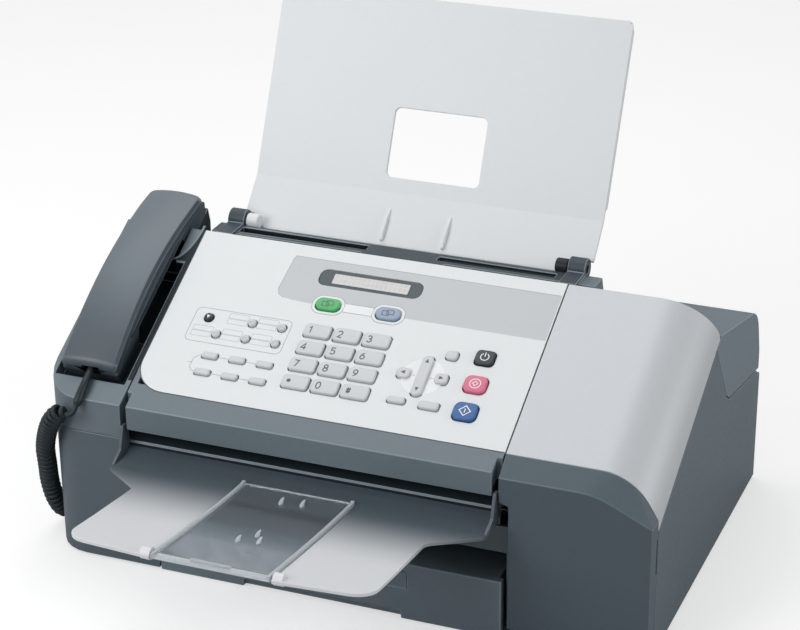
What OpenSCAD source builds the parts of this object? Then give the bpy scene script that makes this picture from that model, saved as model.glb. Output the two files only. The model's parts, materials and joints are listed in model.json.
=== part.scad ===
// Desk-top fax machine with a corded handset, a sloping key panel, a document support
// at the back and a paper cassette below.
//
// Every module is drawn in a working frame: X to the right, Y from the casing's front face
// to the back, Z up from the surface that the feet stand on. place() then moves the part so
// that its origin is the middle of the bottom of its bounding box, the cord left out.
// The slope frame starts at the front crease of the casing: X to the right, Y up the slope,
// Z square to the slope.

/* [Casing] */
// Width of the casing
body_w = 400; // [392:1:412]
// Depth of the casing, front face to rear face
body_d = 255; // [251:1:262]
// Height of the front crease, where the slope starts
crease_z = 113.5; // [110:0.5:118]
// Angle of the sloping top
slope = 28; // [26:0.5:30]
// Wall thickness of the casings
wall = 2.5; // [2:0.1:3]
// Height of the seam between the lower and the upper casing
split_z = 91; // [89:0.5:93]
// Radius of the casing's front left corner
corner_r = 25; // [20:1:30]
// Radius of the casing's other upright corners
edge_r = 5; // [3:1:8]
// Gap between pieces that move apart
gap = 0.8; // [0.5:0.1:1]
// Gap between fixed neighbours
seam = 0.3; // [0.25:0.05:0.4]
// Height of the rubber feet below the casing
foot_h = 2; // [1.5:0.5:3]
// Radius of the rubber feet
foot_r = 8; // [6:1:10]

/* [Rear] */
// Drop from the top of the slope to the rear hood
hood_drop = 29.5; // [26:0.5:32]
// Height of the hood's rear edge before it is rounded
hood_z = 130.5; // [126:0.5:134]
// Radius of the hood's rear edge
hood_r = 25; // [18:1:30]
// Set-back of the hood's rear edge from the rear face
hood_lean = 14; // [10:1:18]
// Height of the hood's lower edge at the rear
hood_edge_z = 84; // [83:0.5:86]
// Length of the paper-path hump behind the rear face
hump_d = 50; // [46:1:56]
// Height of the hump
hump_h = 78; // [74:1:79]

/* [Control panel] */
// Width of the control panel
panel_w = 248; // [244:1:250]
// Middle of the control panel, from the middle of the casing
panel_mid = -19; // [-20:0.5:-18]
// Width of the dark strip in front of the pale plate
strip = 15; // [13:0.5:17]
// Length of the pale plate up the slope
plate_len = 130; // [129:1:134]
// Thickness of the pale plate
plate_t = 2.2; // [1.8:0.1:2.6]
// Corner radius of the pale plate's front left corner
plate_r = 22; // [16:1:26]
// Depth of the panel frame below the slope
frame_h = 13; // [12:0.5:14]
// Height of the front lip
lip_h = 16; // [14:0.5:18]
// Opening angle of the panel's hinge pins above the frame's underside
panel_pin_h = 7; // [6:0.5:8]
// Radius of the panel's hinge pins
panel_pin_r = 2.5; // [2:0.1:3]

/* [Keys] */
// Height of the key tops above the plate
key_rise = 2; // [1.5:0.1:2.5]
// Travel of a key
key_travel = 1; // [0.6:0.1:1.2]
// Gap around a key in the plate
key_gap = 0.3; // [0.25:0.05:0.4]
// Middle of the number keys, left to right
pad_x = -18.8; // [-20:0.2:-18]
// Middle of the lowest row of number keys, up the slope
pad_y = 38.8; // [38:0.2:40]
// Distance between number keys, left to right
pad_dx = 19.8; // [19.5:0.1:20.4]
// Distance between rows of number keys
pad_dy = 13.4; // [13:0.1:14]
// Width of a number key
pad_w = 18.2; // [17:0.1:18.2]
// Length of a number key
pad_l = 10.4; // [9.5:0.1:10.6]

/* [Display] */
// Middle of the display window, left to right
lcd_x = -18.5; // [-20:0.5:-16]
// Middle of the display window, up the slope
lcd_y = 122.2; // [121:0.2:123]
// Width of the display window
lcd_w = 69.6; // [66:0.2:72]
// Length of the display window up the slope
lcd_l = 12.8; // [12:0.2:14]
// Thickness of the key board
board_t = 1.6; // [1.2:0.2:1.6]

/* [Right cover] */
// Radius of the cover's shoulder
shoulder_r = 35; // [30:1:38]
// Drop of the cover's right edge below the slope
cover_drop = 31; // [28:0.5:33]

/* [Ink cover] */
// Thickness of the ink cover, front to back
door_d = 13; // [12:0.5:15]
// Height of the ink cover's lower edge
door_z = 8.5; // [8:0.5:10]
// Left edge of the ink cover, from the middle of the casing
door_x = 112; // [111:0.5:114]
// Shoulder radius of the ink cover's front outline
door_r = 45; // [40:1:50]
// Radius of the ink cover's hinge pins
door_pin_r = 2.5; // [2:0.1:3]
// Height of the ink cover's hinge axis above its lower edge
door_pin_z = 4.5; // [4:0.5:6]
// Set-back of the ink cover's hinge axis from the front face
door_pin_y = 7; // [6.8:0.1:7.4]

/* [Paper cassette] */
// Left side of the cassette
cassette_x0 = -121; // [-122:0.5:-119]
// Right side of the cassette
cassette_x1 = 108; // [106:0.5:108.5]
// Height of the cassette's front panel
cassette_h = 40; // [38:0.5:42]
// Length of the cassette, for sheets of 297
cassette_len = 301; // [299:0.5:302]
// Height of the cassette's walls behind the front panel
cassette_wall_h = 24; // [20:1:28]
// Depth of the finger recess under the front panel
recess_h = 5; // [4:0.5:7]
// Height of the print-output opening above the cassette
output_h = 16; // [15:0.5:18]

/* [Document tray] */
// Reach of the document tray in front of the casing
tray_reach = 131; // [126:1:136]
// Height of the tray's front edge
tray_front_z = 96; // [94:0.5:98]
// Height of the tray's low point, near the casing
tray_low_z = 80.5; // [79.5:0.5:81.5]
// Thickness of the tray's sheet
tray_t = 2.2; // [1.8:0.1:2.6]
// Half width of the tray near the casing
tray_back_w = 124; // [122:0.5:124.5]
// Half width of the tray at its front
tray_front_w = 95; // [90:1:100]
// Half width of the clear flap
flap_w = 37; // [34:0.5:40]
// Length of the clear flap
flap_len = 117; // [110:1:119]
// Thickness of the clear flap
flap_t = 1.8; // [1.4:0.1:2.2]

/* [Document support] */
// Left edge of the document support
support_x0 = -134.5; // [-136:0.5:-133]
// Right edge of the document support
support_x1 = 108; // [106:0.5:110]
// Distance of the hinge axis behind the casing's front face
support_y = 161.5; // [160:0.5:163]
// Height of the hinge axis
support_z = 178; // [177:0.5:179]
// Thickness of the support's sheet
support_t = 2.5; // [2:0.1:3]
// Length of the lower segment
lower_len = 37.5; // [34:0.5:40]
// Angle of the lower segment
lower_angle = 46; // [44:1:48]
// Length of the upper segment
upper_len = 128.5; // [120:0.5:135]
// Angle of the upper segment
upper_angle = 65; // [62:1:67]
// Width of the window
window_w = 64.5; // [60:0.5:68]
// Height of the window
window_l = 46; // [42:0.5:50]
// Radius of the support's hinge pins
support_pin_r = 3; // [2.5:0.1:3.2]

/* [Handset] */
// Middle of the handset, from the middle of the casing
handset_mid = -173.5; // [-174:0.5:-173]
// Width of the handset
handset_w = 39; // [36:0.5:40]
// Front end of the handset, up the slope
handset_s = 21; // [20:0.5:23]
// Length of the handset
handset_len = 150; // [147:0.5:152]
// Height of the handset's back above the slope, at its middle
handset_top = 18; // [16:0.5:20]
// Thickness of the handset's shells
shell_t = 2; // [1.6:0.1:2.4]
// Depth of the mouthpiece below the slope
mouth_h = 9; // [8:0.5:10]
// Depth of the earpiece below the slope
ear_h = 12; // [11:0.5:13]

/* [Inside] */
// Radius of the carriage rail
rail_r = 5; // [4:0.5:6]
// Radius of the roller shafts
shaft_r = 3; // [2.5:0.1:3.5]
// Radius of the paper roller
paper_roller_r = 17; // [15:0.5:18]
// Radius of the document roller
doc_roller_r = 8; // [7:0.5:8.5]
// Running clearance of a shaft in its bore
run = 0.05; // [0.03:0.01:0.08]
// Radius of the upper casing's hinge pins
lid_pin_r = 2; // [1.8:0.1:2.2]

/* [Hidden] */
$fn = 48;
over = 1;
eps = 0.01;
half_w = body_w / 2;
panel_x0 = panel_mid - panel_w / 2;
panel_x1 = panel_mid + panel_w / 2;
left_x = panel_x0 - gap;
right_x = panel_x1 + gap;
slope_len = strip + plate_len;
back_y = slope_len * cos(slope);
back_z = crease_z + slope_len * sin(slope);
hood_y = back_y + hood_drop * sin(slope);
hood_top = back_z - hood_drop * cos(slope);
hood_fall = (hood_top - hood_z) / (body_d - hood_lean - hood_y);
y_front = -tray_reach;
y_rear = body_d + hump_d;
y_mid = (y_front + y_rear) / 2;
case_z = foot_h;
floor_t = wall;

// colours
dark = [0.33, 0.38, 0.42];
darker = [0.24, 0.28, 0.31];
black = [0.08, 0.09, 0.1];
white = [0.86, 0.88, 0.89];
silver = [0.8, 0.81, 0.82];
pale = [0.84, 0.86, 0.87];
steel = [0.72, 0.73, 0.75];
rubber = [0.12, 0.12, 0.13];
green = [0.3, 0.5, 0.32];

function top_z(y) = crease_z + y * tan(slope);
function unit(v) = v / norm(v);
function turn(a, b) = (b - a + 540) % 360 - 180;

// points of one rounded corner at b, between a and c
function corner(a, b, c, r, n) =
    r <= 0 ? [b] :
    let (u = unit(a - b), v = unit(c - b), half = acos(u * v) / 2)
    let (o = b + unit(u + v) * r / sin(half), d = r / tan(half))
    let (s = b + u * d - o, e = b + v * d - o)
    let (a0 = atan2(s.y, s.x), da = turn(a0, atan2(e.y, e.x)))
    [for (i = [0 : n]) o + r * [cos(a0 + da * i / n), sin(a0 + da * i / n)]];

// outline from points [x, y, corner radius]
function rounded(p, n = 6) =
    let (m = len(p))
    [for (i = [0 : m - 1])
        let (a = p[(i + m - 1) % m], b = p[i], c = p[(i + 1) % m])
        each corner([a[0], a[1]], [b[0], b[1]], [c[0], c[1]], b[2], n)];

module place() {
    translate([0, -y_mid, 0]) children();
}

module on_slope() {
    translate([0, 0, crease_z]) rotate([slope, 0, 0]) children();
}

// prism along X from an outline in Y and Z
module along_x(x0, x1) {
    translate([x0, 0, 0]) rotate([90, 0, 90]) linear_extrude(x1 - x0) children();
}

module rod_x(x0, x1, y, z, r) {
    translate([x0, y, z]) rotate([0, 90, 0]) cylinder(r = r, h = x1 - x0);
}

module box(a, b) {
    translate(a) cube(b - a);
}

module round_rect(w, l, r) {
    square([w - 2 * r, l], center = true);
    square([w, l - 2 * r], center = true);
    for (sx = [-1, 1], sy = [-1, 1])
        translate([sx * (w / 2 - r), sy * (l / 2 - r)]) circle(r = r);
}

// ---------------------------------------------------------------- casing outlines

// plan of the casing, drawn in by d
module plan(d = 0) {
    polygon(rounded([
        [-half_w + d, d, corner_r - d],
        [half_w - d, d, 0.5],
        [half_w - d, body_d - d, edge_r],
        [-half_w + d, body_d - d, edge_r],
    ]));
}

// side outline of the upper casing in front of the hood, drawn in by d
module upper_side(d = 0, low = split_z) {
    k = d / cos(slope);
    polygon([
        [d, low],
        [d, top_z(d) - k],
        [back_y - d * sin(slope) * 0.5, back_z - k - d * 0.2],
        [hood_y - d, hood_top - d * 0.2],
        [hood_y - d, low],
    ]);
}

// side outline of the rear hood, drawn in by d, its front at y
module hood_side(d = 0, y = hood_y + seam) {
    polygon(rounded([
        [y, hood_edge_z - over * d, 0],
        [y, hood_top - d, 0],
        [body_d - hood_lean - d, hood_z - d, hood_r - d],
        [body_d - d, hood_edge_z - over * d, 0],
    ]));
}

flank_y0 = hood_y - 7.4;
flank_z0 = hood_top - 7.2;
flank_y1 = hood_y + 23.2;
flank_z1 = 104;

// everything below the seam of the hood's right flank, lowered by d
module below_flank(d = 0) {
    polygon([
        [0, 0],
        [0, flank_z0 - d * 0.56],
        [flank_y0 - d * 0.83, flank_z0 - d * 0.56],
        [flank_y1 - d * 0.6, flank_z1 - d * 0.8],
        [flank_y1 + 8 - d * 0.3, flank_z1 - 5.3 - d],
        [body_d - 3, hood_edge_z - d],
        [body_d + over, hood_edge_z - d],
        [body_d + over, 0],
    ]);
}

// side outline of the hood's right flank
module flank_side() {
    difference() {
        union() {
            hood_side();
            polygon([
                [flank_y0, flank_z0],
                [hood_y + 1, hood_top - 1.2],
                [hood_y + 1, flank_z0 - 20],
            ]);
        }
        below_flank();
    }
}

// ---------------------------------------------------------------- lower casing

side_y0 = door_d + gap;
rear_wall_z = hood_edge_z - 4.5;
lid_axis_y = body_d - 6;
lid_axis_z = hood_edge_z + 2;
lid_ear_x = 150;
lid_ear_r = lid_pin_r + 1.7;

// right side of the lower casing, under the right cover's edge and the hood's flank
module right_side_outline() {
    low = (cover_drop + seam) / cos(slope);
    intersection() {
        below_flank(gap);
        polygon([
            [side_y0, case_z],
            [body_d, case_z],
            [body_d, rear_wall_z],
            [body_d - 8, rear_wall_z],
            [body_d - 8, hood_top],
            [hood_y + 1, hood_top],
            [flank_y0 - 1, top_z(flank_y0 - 1) - low],
            [side_y0 + 3, top_z(side_y0 + 3) - low],
            [side_y0, top_z(side_y0) - low - 4],
        ]);
    }
}

opening_x0 = cassette_x0 - gap;
opening_x1 = cassette_x1 + gap;
output_z = cassette_h + output_h;
brow_z = tray_low_z - 5.5;
fascia_y = 6;
cheek_y1 = 84;
rail_y = 112;
rail_z = 74;
paper_roller_y = body_d + 18;
paper_roller_z = cassette_wall_h + paper_roller_r + 8;
shaft_in = 1.6;
door_axis_z = door_z + door_pin_z;
door_swing_r = norm([door_d - door_pin_y, door_pin_z]);
door_lugs = [door_x + 10, half_w - 18];

module hump_outline(d = 0) {
    polygon(rounded([
        [body_d - over, case_z + d, 0],
        [body_d - over, hump_h - d, 0],
        [body_d + hump_d - d, hump_h - d, 22 - d],
        [body_d + hump_d - d, case_z + d, 0],
    ]));
}

module base_casing() {
    color(dark) difference() {
        union() {
            // walls
            difference() {
                translate([0, 0, case_z]) linear_extrude(split_z - seam - case_z) plan();
                translate([0, 0, case_z + floor_t]) linear_extrude(split_z) plan(wall);
                // rear wall is lower, for the hood to swing
                box([-half_w - over, body_d - 8, rear_wall_z], [half_w + over, body_d + over, split_z + over]);
                // the left and rear walls are lower under the hood
                box([-half_w - over, hood_y - gap, hood_edge_z - seam], [half_w + over, body_d, split_z + over]);
                // the front is lower under the document tray
                box([left_x, -over, brow_z + 0.5], [opening_x0 + over, fascia_y, split_z + over]);
                // front: cassette, print output and ink bay are open
                box([opening_x0, -over, -over], [opening_x1, fascia_y, split_z + over]);
                box([opening_x1 - over, -over, case_z + floor_t], [half_w + over, side_y0, split_z + over]);
                // right side is drawn below
                box([half_w - wall - eps, -over, case_z + floor_t], [half_w + over, body_d + over, split_z + over]);
            }
            // right side
            along_x(half_w - wall, half_w) right_side_outline();
            // inner cheek between the cassette and the ink bay
            box([opening_x1, fascia_y + over, case_z], [opening_x1 + wall, cheek_y1, brow_z]);
            // inner cheek on the left of the cassette
            box([opening_x0 - wall, wall, case_z], [opening_x0, cheek_y1, brow_z]);
            // brow over the print output
            box([opening_x0 - wall, fascia_y, output_z + 1], [opening_x1 + wall, fascia_y + wall, brow_z]);
            // hump for the paper's turn
            along_x(opening_x0 - wall, opening_x1 + wall) hump_outline();
            // ears for the upper casing's hinge
            for (s = [-1, 1]) {
                box([s * lid_ear_x - 2, lid_axis_y - 8, 40], [s * lid_ear_x + 2, body_d - wall + eps, 72]);
                box([s * lid_ear_x - 2, lid_axis_y - 8, 40], [s * lid_ear_x + 2, lid_axis_y, lid_axis_z + 3]);
                rod_x(s * lid_ear_x - 2, s * lid_ear_x + 2, lid_axis_y, lid_axis_z, lid_ear_r);
            }
            // brackets for the ink cover's hinge
            for (x = door_lugs) {
                box([x, door_d + gap, case_z], [x + 4, side_y0 + 6, door_axis_z + 4]);
                box([x, door_pin_y, door_axis_z - 4], [x + 4, side_y0 + 6, door_axis_z + 4]);
                rod_x(x, x + 4, door_pin_y, door_axis_z, 4);
            }
            // bearing walls of the paper roller
            for (x = [opening_x0 - wall, opening_x1])
                box([x, body_d - 20, case_z], [x + wall, body_d + hump_d - 20, hump_h - 6]);
        }
        // inside of the hump, open to the casing
        along_x(opening_x0, opening_x1) hump_outline(wall);
        box([opening_x0, body_d - 12, case_z + floor_t], [opening_x1, body_d + over, hump_h - wall]);
        // hinge bores
        rod_x(-lid_ear_x - 4, -lid_ear_x + 4, lid_axis_y, lid_axis_z, lid_pin_r + run);
        rod_x(lid_ear_x - 4, lid_ear_x + 4, lid_axis_y, lid_axis_z, lid_pin_r + run);
        rod_x(door_x + 8, half_w - wall - over, door_pin_y, door_axis_z, door_pin_r + run);
        // the ink cover's lower rear edge swings past the side wall here
        rod_x(half_w - wall - over, half_w + over, door_pin_y, door_axis_z, door_swing_r + seam);
        // roller bores
        rod_x(opening_x0 - shaft_in - 0.2, opening_x1 + shaft_in + 0.2, paper_roller_y, paper_roller_z, shaft_r + run);
        // power inlet and line sockets
        box([-half_w - over, body_d - 62, 24], [-half_w + 1.2, body_d - 40, 40]);
        for (y = [body_d - 100, body_d - 84])
            box([-half_w - over, y, 26], [-half_w + 1.2, y + 12, 36]);
    }
}

module rubber_feet() {
    color(rubber) for (x = [-half_w + 22, half_w - 22], y = [32, body_d - 20])
        translate([x, y, 0]) cylinder(r = foot_r, h = foot_h);
}

// ---------------------------------------------------------------- ink cover

// front view of the ink cover from x0 and z0: shoulder of radius r, top at z, drawn in by d
module door_outline(x0, z0, z, r, d) {
    polygon(rounded([
        [x0 + d, z0 + d, 0],
        [half_w - d, z0 + d, 0],
        [half_w - d, z - d, r - d],
        [x0 + d, z - d, 0],
    ], 10));
}

door_back_z = top_z(door_d);
door_back_r = shoulder_r + 1;
door_step_z = split_z + 3;

// the cover is lower and rounder at its front face than at its back
module door_block(x0, z0, d = 0) {
    hull() {
        translate([0, d + eps, 0]) rotate([90, 0, 0])
            linear_extrude(eps) door_outline(x0, z0, crease_z - 3, door_r, d);
        translate([0, door_d + d, 0]) rotate([90, 0, 0])
            linear_extrude(eps) door_outline(x0, z0, door_back_z, door_back_r, d);
    }
}

module ink_cover() {
    lug_x0 = 3.5;
    lug_gap = 0.5;
    color(dark) {
        difference() {
            union() {
                door_block(door_x, door_z);
                door_block(right_x, door_step_z);
            }
            door_block(door_x, door_z, wall);
            door_block(right_x, door_step_z, wall);
            // room for the hinge brackets
            for (x = door_lugs)
                box([x - 1, wall, door_z - over], [x + 5, door_d + over, door_axis_z + 5]);
            // finger grip in the right edge
            box([half_w - 2, door_d - 2.2, 58], [half_w + over, door_d + over, 82]);
        }
        for (x = door_lugs) {
            box([x - lug_x0, wall - 0.5, door_z + 1], [x - lug_gap, door_pin_y + 3, door_axis_z + 3]);
            rod_x(x - lug_x0, x + 4, door_pin_y, door_axis_z, door_pin_r);
        }
    }
}

// ---------------------------------------------------------------- print works

bay_x0 = door_x + 8;
bay_x1 = half_w - 8;
bay_y0 = 22;
bay_y1 = 78;
ink_w = 15;
ink_pitch = (bay_x1 - bay_x0 - 4) / 4;
frame_y0 = 84;
frame_y1 = 150;
frame_x0 = -half_w + 14;
frame_x1 = half_w - 10;

module print_frame() {
    color(steel) difference() {
        union() {
            // end plates on the casing's floor
            for (x = [frame_x0, frame_x1 - 2])
                box([x, frame_y0, case_z + floor_t], [x + 2, frame_y1, rail_z + 14]);
            // cross channel over the paper
            box([frame_x0, frame_y1 - 2, cassette_wall_h + 14], [frame_x1, frame_y1, rail_z + 2]);
            // platen under the carriage
            box([frame_x0, 88, cassette_wall_h + 12], [frame_x1, frame_y1, cassette_wall_h + 14]);
            // ink bay, on the casing's floor
            difference() {
                box([bay_x0, bay_y0, case_z + floor_t], [bay_x1, frame_y0 + eps, 74]);
                box([bay_x0 + 2, bay_y0 - over, case_z + floor_t + 5], [bay_x1 - 2, bay_y1, 72]);
            }
        }
        rod_x(frame_x0 - over, frame_x1 + over, rail_y, rail_z, rail_r - 0.01);
    }
    color(steel) rod_x(frame_x0, frame_x1, rail_y, rail_z, rail_r);
}

module ink_cartridges() {
    color(black) for (i = [0 : 3])
        translate([bay_x0 + 4 + ink_pitch * i, bay_y0 + 4, case_z + floor_t + 5 + seam])
            cube([ink_w, bay_y1 - bay_y0 - 5, 52]);
}

carriage_w = 56;
carriage_x = -150;
carriage_y0 = rail_y - 22;
carriage_z0 = cassette_wall_h + 20;

module print_carriage() {
    color(black) difference() {
        union() {
            box([carriage_x - carriage_w / 2, carriage_y0, carriage_z0],
                [carriage_x + carriage_w / 2, rail_y - 9, rail_z + 7]);
            box([carriage_x - carriage_w / 2, rail_y - 10, carriage_z0 + 8],
                [carriage_x + carriage_w / 2, rail_y + 9, rail_z + 8]);
            box([carriage_x - 20, carriage_y0 + 2, cassette_wall_h + 16],
                [carriage_x + 20, rail_y - 12, carriage_z0 + over]);
        }
        rod_x(carriage_x - carriage_w, carriage_x + carriage_w, rail_y, rail_z, rail_r + run);
    }
}

module paper_roller() {
    color(rubber) {
        rod_x(opening_x0 - shaft_in, opening_x1 + shaft_in, paper_roller_y, paper_roller_z, shaft_r);
        for (x = [-90, -45, 0, 45])
            rod_x(x, x + 30, paper_roller_y, paper_roller_z, paper_roller_r);
    }
}

board_z = case_z + floor_t + 7.5;
board_x0 = -half_w + 12;
board_y0 = 34;
power_h = 26.4;
post = 6;

// board on two posts, from y0 to y1
module board(y0, y1) {
    x1 = opening_x0 - 8;
    box([board_x0, y0, board_z], [x1, y1, board_z + board_t]);
    box([board_x0 + 4, y0 + 4, case_z + floor_t], [board_x0 + 4 + post, y0 + 4 + post, board_z + eps]);
    box([x1 - 4 - post, y1 - 4 - post, case_z + floor_t], [x1 - 4, y1 - 4, board_z + eps]);
}

module circuit_boards() {
    rear_y0 = frame_y1 + 6;
    top = board_z + board_t;
    color(green) {
        board(board_y0, frame_y0 - 4);
        board(rear_y0, body_d - 18);
        // power unit and connector
        box([board_x0 + 4, rear_y0 + 6, top - eps], [board_x0 + 34, body_d - 24, top + power_h]);
        box([board_x0 + 6, board_y0 + 16, top - eps], [board_x0 + 22, board_y0 + 32, top + 6.4]);
    }
}

// ---------------------------------------------------------------- cassette

cassette_front_z = 1;
cassette_floor_z = case_z + floor_t + seam;

// right side of the cassette behind its front panel, clear of the open ink cover
cassette_side_x = right_x - gap;

module paper_cassette() {
    color(dark) {
        difference() {
            box([cassette_x0, 0, cassette_front_z], [cassette_x1, fascia_y - seam, cassette_h]);
            // finger recess
            box([panel_mid - 44, -over, -over], [panel_mid + 62, fascia_y - seam - wall, cassette_front_z + recess_h]);
            // stop flap's recess
            box([panel_mid - 66, -over, cassette_h - 18], [panel_mid + 66, 0.6, cassette_h - 6]);
        }
        difference() {
            box([cassette_x0, fascia_y - seam - eps, cassette_floor_z],
                [cassette_side_x, cassette_len, cassette_floor_z + cassette_wall_h]);
            box([cassette_x0 + 2, fascia_y + 2, cassette_floor_z + 2],
                [cassette_side_x - 2, cassette_len - 2, cassette_floor_z + cassette_wall_h + over]);
        }
        // sheet of thickness 2 that closes the top of the front
        box([cassette_x0, fascia_y - seam - eps, cassette_h - 3], [cassette_side_x, 60, cassette_h]);
        for (x = [cassette_x0, cassette_side_x - 2])
            box([x, fascia_y - seam - eps, cassette_floor_z + cassette_wall_h - eps], [x + 2, 60, cassette_h]);
    }
}

// ---------------------------------------------------------------- upper casing

cheek_t = 3;
cheek_y0 = door_d + gap + 8;
panel_axis_s = slope_len - 6;
doc_t = wall;
doc_y0 = 6;
doc_z0 = tray_low_z + 6.5;
doc_y1 = back_y + 13;
doc_z1 = back_z - 13.5;
doc_angle = atan2(doc_z1 - doc_z0, doc_y1 - doc_y0);
block_z = back_z - 5.5;
boss_r = 7;
boss_l = 11.5;
left_boss = left_x + 3.8;
right_boss = right_x - boss_l + 1.7;
doc_axis = 84;
doc_sink = doc_roller_r - 1.5;
sensor_d = 46;
mouth_len = 36;
trough_s0 = handset_s - 5;
mouth_s1 = trough_s0 + mouth_len + 4;
deck_s0 = 116;
hook_s = slope_len - 5;
hook_r = 3.5;

module on_doc_path() {
    translate([0, doc_y0, doc_z0]) rotate([doc_angle, 0, 0]) children();
}

module cradle_cut(d = 0) {
    x0 = -half_w + 4 - d;
    x1 = left_x - 2.5 - gap + d;
    on_slope() {
        box([x0, trough_s0 - d, -mouth_h - seam - d], [x1, mouth_s1 + d, over]);
        box([x0, mouth_s1 - over - d, -22 - d], [x1, deck_s0 + d, over]);
        box([x0, deck_s0 - over - d, -ear_h - seam - d],
            [handset_mid + handset_w / 2 + gap + d, slope_len + 40, over]);
    }
}

module saddle(d = 0) {
    s1 = handset_s + handset_len + 2;
    y0 = slope_len * cos(slope) + ear_h * sin(slope);
    z0 = crease_z + slope_len * sin(slope) - (ear_h + seam) * cos(slope);
    y1 = s1 * cos(slope) + ear_h * sin(slope) - d;
    z1 = crease_z + s1 * sin(slope) - (ear_h + seam) * cos(slope);
    along_x(-half_w + 1 + d, handset_mid + handset_w / 2 - 2 - d) polygon([
        [hood_y - 20, hood_top - 10],
        [y0 - 12, z0 - 12 * tan(slope) - d],
        [y1, z1 - d],
        [y1 + 3, z1 - 10],
        [y1 + 3, hood_top - (y1 + 3 - hood_y) * hood_fall + seam],
        [hood_y, hood_top + seam],
    ]);
}

module upper_casing() {
    color(dark) difference() {
        union() {
            // left housing with the handset's cradle
            difference() {
                intersection() {
                    along_x(-half_w - over, left_x) upper_side();
                    linear_extrude(300) plan();
                }
                difference() {
                    intersection() {
                        along_x(-half_w + wall, left_x - cheek_t) upper_side(wall, split_z - over);
                        linear_extrude(300) plan(wall);
                    }
                    cradle_cut(wall);
                }
            }
            // saddle behind the slope, under the earpiece
            difference() {
                saddle();
                saddle(wall);
            }
            // cheek and shelf under the right cover
            intersection() {
                along_x(right_x, right_x + cheek_t) upper_side(wall + seam, tray_low_z + 14);
                box([right_x - over, cheek_y0, 0], [half_w, body_d, 300]);
            }
            on_slope() box([right_x + over, 22, -cover_drop], [half_w - wall - 1, slope_len - 4, -cover_drop + wall]);
            // beam that carries the document tray
            box([left_x - 1.5, tray_y1, brow_z + 1], [right_x + 1.5, tray_y1 + 3, doc_z0 - 0.5]);
            // document path under the panel
            on_doc_path() box([left_x - over, 0, -doc_t], [right_x + over, norm([doc_y1 - doc_y0, doc_z1 - doc_z0]), 0]);
            // feed block behind the panel
            difference() {
                along_x(left_x - 2, right_x + cheek_t + 10) polygon([
                    [doc_y1 - 5, doc_z1 - 6],
                    [doc_y1 - 1, doc_z1 + 0.4],
                    [doc_y1 + 1, block_z],
                    [support_y - 5, block_z],
                    [support_y - 1, block_z - 12],
                    [hood_y + 16, hood_top - 16 * hood_fall + seam],
                    [hood_y + 1, hood_top - hood_fall + seam],
                ]);
                box([left_x + 2, doc_y1 + 4, 140], [right_x - 2, support_y - 8, block_z - wall]);
            }
            // tongue in the middle of the feed slot
            box([panel_mid - 20, back_y + 7.5, doc_z1 + 6], [panel_mid + 37, doc_y1 + 2, block_z]);
            // end blocks and bosses of the document support
            for (x = [left_boss, right_boss]) {
                box([x, back_y + 8, doc_z1 - 2], [x + boss_l, support_y - 4, block_z + 2]);
                box([x, support_y - 6, doc_z1 - 4], [x + boss_l, support_y + 3.8, support_z]);
                rod_x(x, x + boss_l, support_y, support_z, boss_r);
            }
            // bearings of the document roller
            for (x = [-100, 62])
                on_doc_path() box([x, doc_axis - 6, -doc_sink - 6], [x + 4, doc_axis + 6, -doc_t + eps]);
        }
        cradle_cut();
        // beam and document path end short of the ink cover
        box([right_x - over, -over, 0], [half_w, cheek_y0, split_z + cover_drop]);
        // the right cover's end wall
        on_slope() box([right_x + cheek_t, slope_len - wall - seam, -cover_drop - over],
            [half_w + over, slope_len + seam, over]);
        // sensor window, roller slot
        on_doc_path() {
            box([-128 - seam, sensor_d - seam, -doc_t - over], [90 + seam, sensor_d + 16 + seam, over]);
            box([-94, doc_axis - doc_roller_r - 1, -doc_t - over], [60, doc_axis + doc_roller_r + 1, over]);
        }
        // bores: panel hinge, support hinge, document roller, hook button
        on_slope() rod_x(left_x - 2.6, right_x + 2.6, panel_axis_s, -panel_pin_h, panel_pin_r + run);
        rod_x(left_boss - over, right_boss + boss_l + over, support_y, support_z, support_pin_r + run);
        on_doc_path() rod_x(-101, 67, doc_axis, -doc_sink, shaft_r + run);
        on_slope() translate([handset_mid, hook_s, -ear_h - 8]) {
            cylinder(r = hook_r + run, h = 9);
            translate([0, 0, -gap]) cylinder(r = hook_r + 2.6, h = 5.8);
        }
        // socket of the handset cord
        translate([-half_w - over, jack_y, jack_z]) rotate([0, 90, 0]) cylinder(r = cord_r + run, h = wall + 4);
    }
}

module hook_button() {
    color(black) on_slope() {
        translate([handset_mid, hook_s, -ear_h - 8]) cylinder(r = hook_r, h = 8 - seam);
        translate([handset_mid, hook_s, -ear_h - 8]) cylinder(r = hook_r + 2, h = 1.7);
    }
}

module rear_hood() {
    lug_x = 2.4;
    lug_t = 4;
    color(dark) {
        difference() {
            intersection() {
                union() {
                    along_x(-half_w - over, half_w - wall) hood_side();
                    along_x(half_w - wall - eps, half_w + over) flank_side();
                }
                linear_extrude(300) plan();
            }
            along_x(-half_w + wall, half_w - wall) hood_side(wall, hood_y - over);
            // room for the hinge ears of the lower casing
            for (s = [-1, 1])
                rod_x(s * lid_ear_x - 2 - gap, s * lid_ear_x + 2 + gap, lid_axis_y, lid_axis_z, lid_ear_r + seam);
        }
        // lugs and pins of the rear hinge
        for (s = [-1, 1]) {
            x0 = s * lid_ear_x + (s > 0 ? lug_x : -lug_x - lug_t);
            box([x0, lid_axis_y - 5, lid_axis_z - 5], [x0 + lug_t, lid_axis_y + 3.2, lid_axis_z + 6]);
            rod_x(s * lid_ear_x - (s > 0 ? 2 : 4), s * lid_ear_x + (s > 0 ? 4 : 2), lid_axis_y, lid_axis_z, lid_pin_r);
        }
    }
}

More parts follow.
